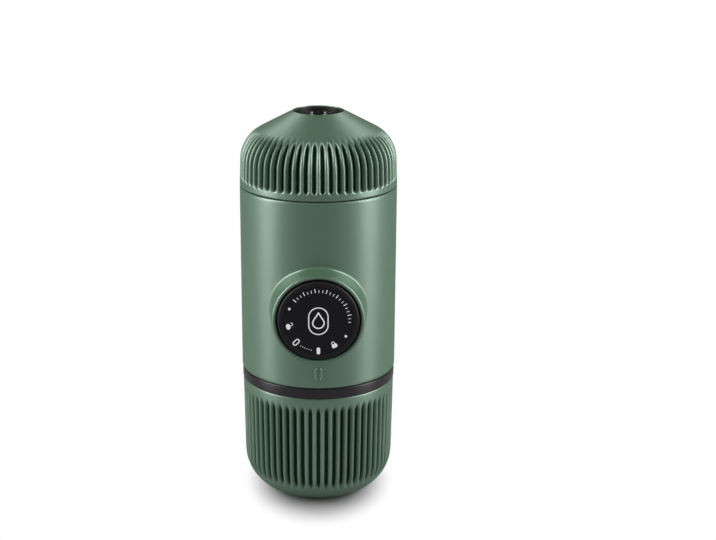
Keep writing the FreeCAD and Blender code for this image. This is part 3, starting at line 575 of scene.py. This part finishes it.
def tube_grid(radius):
    """The tube's points at this radius, and its quads without those whose middle is in the window."""
    angle, height = np.meshgrid(tube_angles, tube_rows)
    columns = len(tube_angles)
    faces = grid_faces(len(tube_rows), columns)
    row = faces[:, 0] // columns
    column = faces[:, 0] % columns
    middle = (tube_rows[row] + tube_rows[row + 1]) / 2
    inside = (column < WINDOW_CELLS) & (np.abs(middle - KNOB_HEIGHT) < WINDOW_HALF)
    return on_tube(angle, height, radius).reshape(-1, 3), faces[~inside]


def edge_band(end, inward):
    """Close the tube's wall at one end with turned rows; inward is 1 at the foot and -1 at the top."""
    path = [(BODY_RADIUS, end + EDGE * inward), (BODY_RADIUS - EDGE_BEVEL, end + EDGE_BEVEL * inward),
            (BODY_RADIUS - EDGE, end), (INNER_RADIUS, end), (INNER_RADIUS, end + EDGE * inward)]
    points = np.stack([on_tube(tube_angles, height, radius) for radius, height in path])
    return points.reshape(-1, 3), grid_faces(len(path), len(tube_angles))


print("tube:", len(tube_rows), "rows of", len(tube_angles), "points")

# %% [markdown]
# The boss's outside is nearly a straight cylinder, and it lands on the tube in a soft hollow. A bevel would
# need the edge where they meet, and this edge goes up and down round the boss. The hollow is worked out
# instead: in each direction round the knob, a curve leaves the flank and comes down flat on the tube.

# %% Flank of the boss
RIM = 17.9
RIM_REACH = 39.1
RIM_DROP = 2.0
FLANK_SLOPE = 0.04
FLANK_ROWS = 9
BLEND = 1.0
BLEND_ROWS = 15
ROOT_STEPS = 12


def window_edge():
    """Angle and height of the window's edge points, in order round the window."""
    share = np.linspace(-1, 1, WINDOW_CELLS, endpoint=False)
    one = np.ones(WINDOW_CELLS)
    angle = np.concatenate([share, one, -share, -one]) * WINDOW_ANGLE
    height = np.concatenate([-one, share, one, -share]) * WINDOW_HALF
    return angle, height


def tube_reach(radius, cosine):
    """Reach of the tube's face at this radius from the knob's axis: sqrt(R^2 - (r cos)^2)."""
    return np.sqrt(BODY_RADIUS ** 2 - (radius * cosine) ** 2)


def flank_radius(reach):
    """The boss's flank is a steep cone: it widens by the slope for each millimetre towards the tube."""
    return RIM + (RIM_REACH - RIM_DROP - reach) * FLANK_SLOPE


def flank_rows(cosine):
    """Radius and reach of the flank and of the soft hollow at its root, for each direction round the knob.

    The root is where the flank meets the tube, and going back and forth between the two finds it.
    The hollow is a quadratic curve (1-t)^2 A + 2t(1-t) root + t^2 B from the flank to the tube.
    """
    root = np.full(cosine.shape, BODY_RADIUS)
    for _ in range(ROOT_STEPS):
        root = tube_reach(flank_radius(root), cosine)
    start = root + BLEND
    corner = flank_radius(root)
    end = corner + BLEND
    rows = []
    for t in np.linspace(0, 1, FLANK_ROWS)[:-1]:
        reach = RIM_REACH - RIM_DROP + (start - RIM_REACH + RIM_DROP) * t
        rows.append((flank_radius(reach), reach))
    for t in np.linspace(0, 1, BLEND_ROWS):
        radius = (1 - t) ** 2 * flank_radius(start) + 2 * t * (1 - t) * corner + t ** 2 * end
        reach = (1 - t) ** 2 * start + 2 * t * (1 - t) * root + t ** 2 * tube_reach(end, cosine)
        rows.append((radius, reach))
    return rows, end


root_radius = round(flank_radius(BODY_RADIUS), 2)
print("flank:", RIM, "mm at the rim and", root_radius, "mm at its root above the knob")

# %% [markdown]
# The rest of the boss is a stack of closed rows round the knob's axis: out along the bore, over the rounded
# rim and down the flank. Each row has as many points as the window has edge points, so the last row is the
# window's edge itself and no seam shows.

# %% Grid of the boss
BORE = 16.05
CREST = 16.95
RIM_STEPS = 13
BORE_DROP = 0.8
BORE_ROUND = ((16.08, 0.62), (16.2, 0.42), (16.4, 0.22), (16.65, 0.07), (CREST, 0.0))
INNER_CLEARANCE = 0.4


def window_patch():
    """The grid that fills the window: the inner wall, the bore, the rim, the flank and the outer wall."""
    edge_angle, edge_height = window_edge()
    direction = np.arctan2(edge_height, BODY_RADIUS * edge_angle)
    cosine = np.cos(direction)
    sine = np.sin(direction)

    def ring_at(radius, reach):
        """A row round the knob's axis: (r cos d, -reach, knob height + r sin d) for each direction d."""
        depth = np.broadcast_to(reach, cosine.shape)
        return np.stack([radius * cosine, -depth, KNOB_HEIGHT + radius * sine], -1)

    def spread(radius, wall, count):
        """Rows on the tube, from a ring of this radius to the window's edge, in even shares of the way."""
        start_angle = np.arcsin(radius * cosine / wall)
        rows = []
        for share in np.linspace(0, 1, count):
            angle = start_angle + (edge_angle - start_angle) * share
            height = radius * sine + (edge_height - radius * sine) * share
            rows.append(on_tube(angle, KNOB_HEIGHT + height, wall))
        return rows

    inner = spread(BORE + INNER_CLEARANCE, INNER_RADIUS, 6)[::-1]
    start = np.sqrt(INNER_RADIUS ** 2 - (BORE * cosine) ** 2)
    end = RIM_REACH - BORE_DROP
    bore = [ring_at(BORE, start + (end - start) * share) for share in (0.0, 0.5, 1.0)]
    rim = [ring_at(radius, RIM_REACH - drop) for radius, drop in BORE_ROUND]
    for turn in np.linspace(0, math.pi / 2, RIM_STEPS)[1:-1]:
        radius = CREST + (RIM - CREST) * math.sin(turn)
        rim.append(ring_at(radius, RIM_REACH - RIM_DROP * (1 - math.cos(turn))))
    rows, root = flank_rows(cosine)
    flank = [ring_at(radius, reach) for radius, reach in rows]
    return np.array(inner + bore + rim + flank + spread(root, BODY_RADIUS, 14)[1:])


patch = window_patch()
print("boss:", len(patch), "rows of", patch.shape[1], "points")

# %% [markdown]
# The body's shell is one piece of plastic, so its five grids go into one mesh. Where two of them share an
# edge, their points fall on each other and are merged.

# %% Body shell
parts = [tube_grid(BODY_RADIUS), tube_grid(INNER_RADIUS),
         (patch.reshape(-1, 3), grid_faces(len(patch), patch.shape[1])),
         edge_band(BODY_LOW, 1), edge_band(BODY_TOP, -1)]
starts = np.cumsum([0] + [len(points) for points, _ in parts[:-1]])
body_points = np.concatenate([points for points, _ in parts])
body_faces = np.concatenate([faces + start for (_, faces), start in zip(parts, starts)])
body = add_mesh("body_skin", body_points, body_faces, "green", smooth_angle=50)
dress(body, "main_body", "green_shell", "body_shell")

# %% [markdown]
# Under the knob a small raised outline, shaped like a pill, shows where the dial is read. It is a thin
# round bead carried along a stadium-shaped path on the tube. A bump in the finish would be simpler, but the
# outline catches light on its side and needs real height.

# %% Index mark
MARK_HEIGHT = 58.2
MARK_HALF_WIDTH = 1.1
MARK_HALF_HEIGHT = 2.45
BEAD_WIDTH = 0.36
BEAD_RISE = 0.42
BEAD_SINK = 0.02


def stadium(half_width, half_height, count=64):
    """Points round an upright pill shape: two straight sides joined by half circles."""
    turn = np.linspace(0, TURN, count, endpoint=False)
    shift = np.where(np.sin(turn) >= 0, half_height - half_width, half_width - half_height)
    return np.stack([half_width * np.cos(turn), half_width * np.sin(turn) + shift], 1)


def index_mark():
    """The bead: an ellipse across the path at each of its points, on the tube's face sqrt(R^2 - x^2)."""
    path = stadium(MARK_HALF_WIDTH, MARK_HALF_HEIGHT)
    turn = np.linspace(0, TURN, 12, endpoint=False)
    tangent = np.roll(path, -1, 0) - np.roll(path, 1, 0)
    tangent /= np.linalg.norm(tangent, axis=1)[:, None]
    outward = np.stack([tangent[:, 1], -tangent[:, 0]], 1)
    across = path[:, None, 0] + outward[:, None, 0] * BEAD_WIDTH * np.cos(turn)
    height = MARK_HEIGHT + path[:, None, 1] + outward[:, None, 1] * BEAD_WIDTH * np.cos(turn)
    reach = np.sqrt(BODY_RADIUS ** 2 - across ** 2) + BEAD_RISE * np.sin(turn) - BEAD_SINK
    points = np.stack([across, -reach, height], -1)
    faces = grid_faces(len(path), len(turn), wrap_rows=True)
    return add_mesh("index_mark", points.reshape(-1, 3), faces, "green")


dress(index_mark(), "main_body", "green_shell")

# %% [markdown]
# The knob is a shallow black cap with a softly rounded edge, and a dial disc lies in its face with a
# hairline round it. Under the cap a skirt slides in the boss. All three are turned about the pump's axis,
# which points at the viewer.

# %% Knob
FACE = 39.6
DIAL_FACE = 39.53
DIAL_SEAT = 39.1
CAP_BACK = 35.6
SKIRT_OUTSIDE = 14.88

cap_path = rounded([
    (0, CAP_BACK), (15.5, CAP_BACK, 0.3), (15.62, FACE, 2.2), (13.45, FACE - 0.02, 0.08),
    (13.38, DIAL_SEAT), (0, DIAL_SEAT)], 12)
cap = turned("knob_skin", cap_path, "knob", 256, along_y=KNOB_HEIGHT)
dress(cap, "piston", "knob_black", "knob_cap")
dial_path = rounded([(0, 39.0), (13.3, 39.0), (13.3, DIAL_FACE, 0.1), (0, DIAL_FACE)])
dial = turned("dial_skin", dial_path, "dial", 256, along_y=KNOB_HEIGHT)
dress(dial, "piston", "dial_black", "dial_insert")
skirt_path = rounded([
    (12.9, 11.6, 0.2), (SKIRT_OUTSIDE, 11.6, 0.4), (SKIRT_OUTSIDE, 32.6, 0.1), (14.6, 33.0, 0.1),
    (14.6, 34.2, 0.1), (SKIRT_OUTSIDE, 34.6, 0.1), (SKIRT_OUTSIDE, CAP_BACK), (12.9, CAP_BACK)])
skirt = turned("skirt_skin", skirt_path, "knob", 192, along_y=KNOB_HEIGHT)
dress(skirt, "piston", "knob_black", "piston_skirt")

# %% [markdown]
# The dial's print is flat white ink, and its finish has a little painted glow. An image would blur at its
# edges, so each mark is a small polygon: either a closed outline filled from its middle, or a ribbon along
# a line. Both are two rows of points, so one rule joins them into faces.

# %% Shapes of the marks
LOCK_CASE = (0.8, 1.12)
SHACKLE = 0.58
SHACKLE_LEG = 0.55
SHACKLE_WIDTH = 0.27
DROP_ROUND = 1.35
DROP_PINCH = 0.75
DROP_POINT = 1.15


def turn_points(points, angle):
    """Points (x, y) turned about the middle: (x cos - y sin, x sin + y cos)."""
    cos = np.cos(angle)
    sin = np.sin(angle)
    return np.stack([points[:, 0] * cos - points[:, 1] * sin, points[:, 0] * sin + points[:, 1] * cos], 1)


def stroke(path, width, closed=False):
    """A ribbon of this width along a path: half the width to each side, square to the path's direction."""
    if closed:
        tangent = np.roll(path, -1, 0) - np.roll(path, 1, 0)
    else:
        tangent = np.gradient(path, axis=0)
    tangent = tangent / np.linalg.norm(tangent, axis=1)[:, None]
    side = np.stack([-tangent[:, 1], tangent[:, 0]], 1) * width / 2
    return np.stack([path - side, path + side]), closed


def arc_points(radius, start, end, count):
    """Points (r cos a, r sin a) on a circle, from one angle in degrees to another."""
    turn = np.radians(np.linspace(start, end, count))
    return np.stack([radius * np.cos(turn), radius * np.sin(turn)], 1)


def filled(path):
    """A closed outline filled from its middle, as two rows of points."""
    return np.stack([np.broadcast_to(path.mean(0), path.shape), path]), True


def padlock(is_open):
    """A body with rounded corners and a shackle, which stands to one side when the lock is open."""
    case = stadium(*LOCK_CASE, 40)[:, ::-1]
    free_end = 0.05 if is_open else -SHACKLE_LEG
    place = [-0.75, 1.2] if is_open else [0.0, 1.15]
    bow = arc_points(SHACKLE, 0, 180, 14)
    shackle = np.concatenate([[[SHACKLE, -SHACKLE_LEG]], bow, [[-SHACKLE, free_end]]])
    return [filled(case), stroke(shackle + place, SHACKLE_WIDTH)]


def drop_outline():
    """A drop: a circle whose top is drawn up to a point, and made slimmer, by the cube of the height."""
    turn = np.linspace(0, TURN, 48, endpoint=False)
    pull = np.clip(np.sin(turn), 0, 1) ** 3
    across = DROP_ROUND * np.cos(turn) * (1 - DROP_PINCH * pull)
    return np.stack([across, DROP_ROUND * np.sin(turn) + DROP_POINT * pull], 1)


def placed(shapes, degrees, radius):
    """Stand shapes on a circle of this radius at this angle, with their feet towards the rim."""
    angle = math.radians(degrees)
    centre = radius * np.array([math.cos(angle), math.sin(angle)])
    out = []
    for rows, closed in shapes:
        flat = turn_points(rows.reshape(-1, 2), angle + math.pi / 2) + centre
        out.append((flat.reshape(rows.shape), closed))
    return out


print("points in the drop:", len(drop_outline()))

# %% [markdown]
# A filled pill marks the locked place and an open pill the place one eighth of a turn on, with dots between
# them. Two padlocks, two bigger dots and a ring of fine ticks stand round the rest of the circle, and a
# plain drop in a pill-shaped outline is in the middle. The marks are drawn in the dial's own plane, a hair
# above the disc, and then stood up.

# %% Dial print
INK = DIAL_FACE + 0.015
READ_CIRCLE = 11.9
LOCKED = -90
UNLOCKED = -135
SMALL_DOTS = np.linspace(-124, -103, 6)
SMALL_DOT = 0.17
BIG_DOTS = (156, -30)
BIG_DOT = 0.5
CLOSED_LOCK = -58
OPEN_LOCK = -169
TICKS = np.arange(138, -9, -7.0)
TICK_HALF = 0.55
TICK_EXTRA = 0.45
TICK_WIDTH = 0.22
LONG_TICK_WIDTH = 0.3
OUTLINE = 0.42
DROP_LINE = 0.5
DROP_SCALE = 1.6
DROP_SHIFT = (0, -0.7)

marks = placed([filled(stadium(0.68, 1.4))], LOCKED, READ_CIRCLE)
marks += placed([stroke(stadium(0.72, 1.35), OUTLINE, True)], UNLOCKED, READ_CIRCLE)
for degrees in SMALL_DOTS:
    marks += placed([filled(arc_points(SMALL_DOT, 0, 345, 14))], degrees, READ_CIRCLE)
for degrees in BIG_DOTS:
    marks += placed([filled(arc_points(BIG_DOT, 0, 350, 24))], degrees, READ_CIRCLE + 0.1)
marks += placed(padlock(False), CLOSED_LOCK, READ_CIRCLE - 0.3)
marks += placed(padlock(True), OPEN_LOCK, READ_CIRCLE - 0.3)
for number, degrees in enumerate(TICKS):
    is_long = number % 3 == 0
    foot = -TICK_HALF - (TICK_EXTRA if is_long else 0.0)
    tick = np.array([[0, foot], [0, 0.0], [0, TICK_HALF]])
    width = LONG_TICK_WIDTH if is_long else TICK_WIDTH
    marks += placed([stroke(tick, width)], degrees, READ_CIRCLE - 0.1)
marks.append(stroke(drop_outline() * DROP_SCALE + DROP_SHIFT, DROP_LINE, True))
marks.append(stroke(stadium(3.65, 5.3, 96), OUTLINE, True))

ink_points = []
ink_faces = []
start = 0
for rows, closed in marks:
    count = rows.shape[1]
    ink_points.append(rows.reshape(-1, 2))
    ink_faces.append(grid_faces(2, count, False, closed) + start)
    start += 2 * count
flat = np.concatenate(ink_points)
stood_up = np.stack([flat[:, 0], np.full(len(flat), -INK), flat[:, 1] + KNOB_HEIGHT], 1)
# The ink's finish carries a painted glow that brightens the white.
ink = add_mesh("dial_print", stood_up, np.concatenate(ink_faces), "print")
dress(ink, "piston", "dial_black")
print("marks:", len(marks))

# %% [markdown]
# Inside the dome sits the black core that holds the basket. Only its collar and the floor of its recess
# show, with the glossy nozzle standing in the middle of the mouth. Both are turned from closed profiles. A
# gloss shows a rounded edge as a thin light, so each of the nozzle's edges has its own small rounding.

# %% Core and nozzle
core_path = rounded([
    (27.2, 118.0, 0.3), (28.3, 118.0, 0.3), (28.3, 127.1), (27.95, KNEE, 6), (22.1, 146.6, 3), (9.6, 153.2),
    (9.6, 155.75, 0.2), (8.7, 155.7, 0.3), (8.6, 149.4, 0.6), (4.0, 149.4), (4.0, 146.7), (16.1, 144.7),
    (20.1, 144.7), (20.1, 134.3), (27.2, 134.3), (27.2, 118.0)])
core = turned("core_skin", core_path, "frame", 192)
dress(core, "outlet_head", "black_frame", "portafilter")
nozzle_path = rounded([
    (3.15, 146.7), (3.95, 146.7), (3.95, 149.4), (6.3, 149.4, 0.2), (6.3, 150.3, 0.3), (5.5, 150.9, 0.4),
    (5.5, 154.8, 0.7), (4.3, 154.8, 0.3), (4.1, 154.1, 0.3), (2.1, 153.2, 0.2), (2.1, 151.8), (3.15, 151.8),
    (3.15, 146.7)])
nozzle = turned("nozzle_skin", nozzle_path, "gloss", 128)
dress(nozzle, "outlet_head", "spout_black", "spout")

# %% [markdown]
# The threads are thin ridges that wind up the tank's neck and the head's spigot. A screw modifier makes a
# thread of one height from end to end. Here each is a low trapezoid carried along a helix, so its ends can
# fade to nothing, as a moulded thread's do.

# %% Threads
THREAD_PROUD = 0.24
THREAD_SAMPLES = 96
THREAD_FADE = 0.08
SECTION_OUT = np.array([-0.15, 1, 1, -0.15])
SECTION_UP = np.array([-0.32, -0.14, 0.14, 0.32])
THIN_END = 0.3


def thread(name, radius, low, high, pitch):
    """A trapezoid section on a helix: (r cos a, r sin a, low + share of the rise), faded at both ends."""
    turns = (high - low) / pitch
    share = np.linspace(0, 1, int(turns * THREAD_SAMPLES))
    angle = TURN * turns * share
    fade = smooth_step(0, THREAD_FADE, share) * (1 - smooth_step(1 - THREAD_FADE, 1, share))
    proud = THREAD_PROUD * SECTION_OUT * np.where(SECTION_OUT > 0, fade[:, None], 1)
    rise = SECTION_UP * pitch * (THIN_END + (1 - THIN_END) * fade[:, None])
    r = radius + proud
    z = low + (high - low) * share[:, None] + rise
    grid = np.stack([r * np.cos(angle)[:, None], r * np.sin(angle)[:, None], z], -1)
    sides = grid_faces(len(share), 4, False, True)
    ends = np.array([[0, 1, 2, 3], np.arange(4) + 4 * (len(share) - 1)])
    return add_mesh(name, grid.reshape(-1, 3), np.concatenate([sides, ends]), "frame", smooth_angle=30)


neck_thread = thread("neck_thread", radius=25.7, low=43.3, high=50.2, pitch=2.8)
dress(neck_thread, "main_body", "black_frame")
spigot_thread = thread("spigot_thread", radius=26.9, low=120.5, high=132.0, pitch=3.4)
dress(spigot_thread, "main_body", "black_frame")

# %% [markdown]
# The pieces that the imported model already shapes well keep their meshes: the pump, the valves, the seals,
# the basket and the spring. Their slots say what they are made of, so a table from slot to finish is
# enough.

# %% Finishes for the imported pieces
finish_of_slot = {
    "green_shell": "green", "black_vessel": "ring", "black_frame": "frame", "knob_black": "knob",
    "dial_black": "dial", "seal_rubber": "rubber", "valve_rubber": "silicone", "steel": "steel",
    "spring_steel": "steel", "pump_plastic": "pump", "spout_black": "gloss"}
slot_of_node = {entry["node"]: entry["material_slot"] for entry in frame["record"]["subparts"]}
for node, packed in frame["nodes"].items():
    finish = finishes[finish_of_slot[slot_of_node[node]]]
    for place in packed.material_slots:
        place.material = finish
print("packed pieces:", len(frame["nodes"]))

# %% [markdown]
# The photograph's ground is plain white, with no horizon. Brighter lamps would make it so, but they would
# bleach the object too. The white is a plain emission of strength 1 instead, which only some rays see:
# those that come straight from the camera or through glass. Reflections see a tenth of it, because all of
# it washes out the green.

# %% White ground
GROUND_IN_GLOSS = 0.10


def combined(nodes, links, operation, first, second):
    """One number from two, by a Math node; the second is another node's output or a plain number."""
    node = nodes.new("ShaderNodeMath")
    node.operation = operation
    links.new(first, node.inputs[0])
    if isinstance(second, float):
        node.inputs[1].default_value = second
    else:
        links.new(second, node.inputs[1])
    return node.outputs["Value"]


def ground_seen(nodes, links):
    """How much of the white ground a ray sees: all directly or through glass, and a share by reflection."""
    paths = nodes.new("ShaderNodeLightPath").outputs
    mirrored = combined(nodes, links, "MULTIPLY", paths["Is Glossy Ray"], GROUND_IN_GLOSS)
    direct = combined(nodes, links, "MAXIMUM", paths["Is Camera Ray"], paths["Is Transmission Ray"])
    return combined(nodes, links, "MAXIMUM", direct, mirrored)


print("share of the ground in reflections:", GROUND_IN_GLOSS)

# %% [markdown]
# Close to the object the floor is a real, pale one, so that its contact shadow and soft reflection stay. A
# few centimetres away it turns into the white ground. The distance is stretched sideways and squeezed
# forwards, because the shadow shows mostly in front.

# %% Floor
FLOOR_TONE = 0.38
FLOOR_ROUGH = 0.22
FLOOR_SPECULAR = 0.35
FLOOR_SQUEEZE = (1.25, 0.86, 1)
FADE_START = 0.020
FADE_END = 0.040
FLOOR_HALF = 3.0


def floor_material():
    """A pale floor that turns into the white ground by a smooth fade over the squeezed distance."""
    material, nodes, links, shader = new_material("pale_floor")
    shader.inputs["Base Color"].default_value = (FLOOR_TONE, FLOOR_TONE, FLOOR_TONE, 1)
    shader.inputs["Roughness"].default_value = FLOOR_ROUGH
    shader.inputs["Specular IOR Level"].default_value = FLOOR_SPECULAR
    coordinates = nodes.new("ShaderNodeTexCoord")
    squeeze = nodes.new("ShaderNodeMapping")
    squeeze.inputs["Scale"].default_value = FLOOR_SQUEEZE
    links.new(coordinates.outputs["Object"], squeeze.inputs["Vector"])
    length = nodes.new("ShaderNodeVectorMath")
    length.operation = "LENGTH"
    links.new(squeeze.outputs["Vector"], length.inputs[0])
    fade = nodes.new("ShaderNodeMapRange")
    fade.interpolation_type = "SMOOTHSTEP"
    fade.inputs["From Min"].default_value = FADE_START
    fade.inputs["From Max"].default_value = FADE_END
    links.new(length.outputs["Value"], fade.inputs["Value"])
    seen = combined(nodes, links, "MULTIPLY", fade.outputs["Result"], ground_seen(nodes, links))
    white = nodes.new("ShaderNodeEmission")
    mix = nodes.new("ShaderNodeMixShader")
    links.new(seen, mix.inputs["Fac"])
    links.new(shader.outputs["BSDF"], mix.inputs[1])
    links.new(white.outputs["Emission"], mix.inputs[2])
    links.new(mix.outputs["Shader"], nodes["Material Output"].inputs["Surface"])
    return material


floor_corners = [(-FLOOR_HALF, -FLOOR_HALF, 0), (FLOOR_HALF, -FLOOR_HALF, 0),
                 (FLOOR_HALF, FLOOR_HALF, 0), (-FLOOR_HALF, FLOOR_HALF, 0)]
floor_mesh = bpy.data.meshes.new("floor")
floor_mesh.from_pydata(floor_corners, [], [(0, 1, 2, 3)])
floor_mesh.materials.append(floor_material())
floor = bpy.data.objects.new("floor", floor_mesh)
bpy.context.collection.objects.link(floor)
print("floor:", 2 * FLOOR_HALF, "m square")

# %% [markdown]
# The world gives very little light of its own, because soft boxes shape the object and an even light would
# flatten it. For the rays that see the ground it is the same white as the far floor, so the two meet
# unseen.

# %% World
WORLD_LEVEL = 0.02


def world_light(level):
    """A plain even light of this level, and the white ground for the rays that see it."""
    world = bpy.data.worlds.new("studio")
    bpy.context.scene.world = world
    world.use_nodes = True
    nodes = world.node_tree.nodes
    links = world.node_tree.links
    light = nodes["Background"]
    light.inputs["Color"].default_value = (1, 1, 1, 1)
    light.inputs["Strength"].default_value = level
    ground = nodes.new("ShaderNodeBackground")
    ground.inputs["Color"].default_value = (1, 1, 1, 1)
    mix = nodes.new("ShaderNodeMixShader")
    links.new(ground_seen(nodes, links), mix.inputs["Fac"])
    links.new(light.outputs["Background"], mix.inputs[1])
    links.new(ground.outputs["Background"], mix.inputs[2])
    links.new(mix.outputs["Shader"], nodes["World Output"].inputs["Surface"])


world_light(WORLD_LEVEL)
print("world level:", WORLD_LEVEL)

# %% [markdown]
# Two tall soft boxes stand almost square to the sides. A round green shell mirrors each as one soft band,
# with the darker middle between them, which is what gives the object its shape in the photograph. A weak
# box in front lights the knob's face, and two high ones behind put a sheen on the dome's cone.

# %% Lamps
SIDE_ANGLE = 77
SIDE_DISTANCE = 0.62
SIDE_HEIGHT = 0.34
SIDE_WIDTH = 0.27
SIDE_TALL = 0.68
SIDE_POWER = 3.8
FRONT_DISTANCE = 0.60
FRONT_HEIGHT = 0.50
FRONT_SIZE = 0.4
FRONT_POWER = 0.2
BACK_ANGLE = 147
BACK_DISTANCE = 0.60
BACK_HEIGHT = 0.66
BACK_SIZE = 0.25
BACK_POWER = 0.5


def softbox(name, azimuth, distance, height, width, tall, power):
    """A soft lamp at this azimuth, where 0 is the camera's side, that faces the object's axis."""
    data = bpy.data.lights.new(name, "AREA")
    data.shape = "RECTANGLE"
    data.size = width
    data.size_y = tall
    data.energy = power
    lamp = bpy.data.objects.new(name, data)
    bpy.context.collection.objects.link(lamp)
    turn = math.radians(azimuth)
    lamp.location = (distance * math.sin(turn), -distance * math.cos(turn), height)
    tilt = math.atan2(height - AIM_HEIGHT, distance)
    lamp.rotation_euler = (math.pi / 2 - tilt, 0, turn)
    print(name, "at", tuple(lamp.location))


softbox("left_softbox", -SIDE_ANGLE, SIDE_DISTANCE, SIDE_HEIGHT, SIDE_WIDTH, SIDE_TALL, SIDE_POWER)
softbox("right_softbox", SIDE_ANGLE, SIDE_DISTANCE, SIDE_HEIGHT, SIDE_WIDTH, SIDE_TALL, SIDE_POWER)
softbox("front_softbox", 0, FRONT_DISTANCE, FRONT_HEIGHT, FRONT_SIZE, FRONT_SIZE, FRONT_POWER)
softbox("left_back_softbox", -BACK_ANGLE, BACK_DISTANCE, BACK_HEIGHT, BACK_SIZE, BACK_SIZE, BACK_POWER)
softbox("right_back_softbox", BACK_ANGLE, BACK_DISTANCE, BACK_HEIGHT, BACK_SIZE, BACK_SIZE, BACK_POWER)
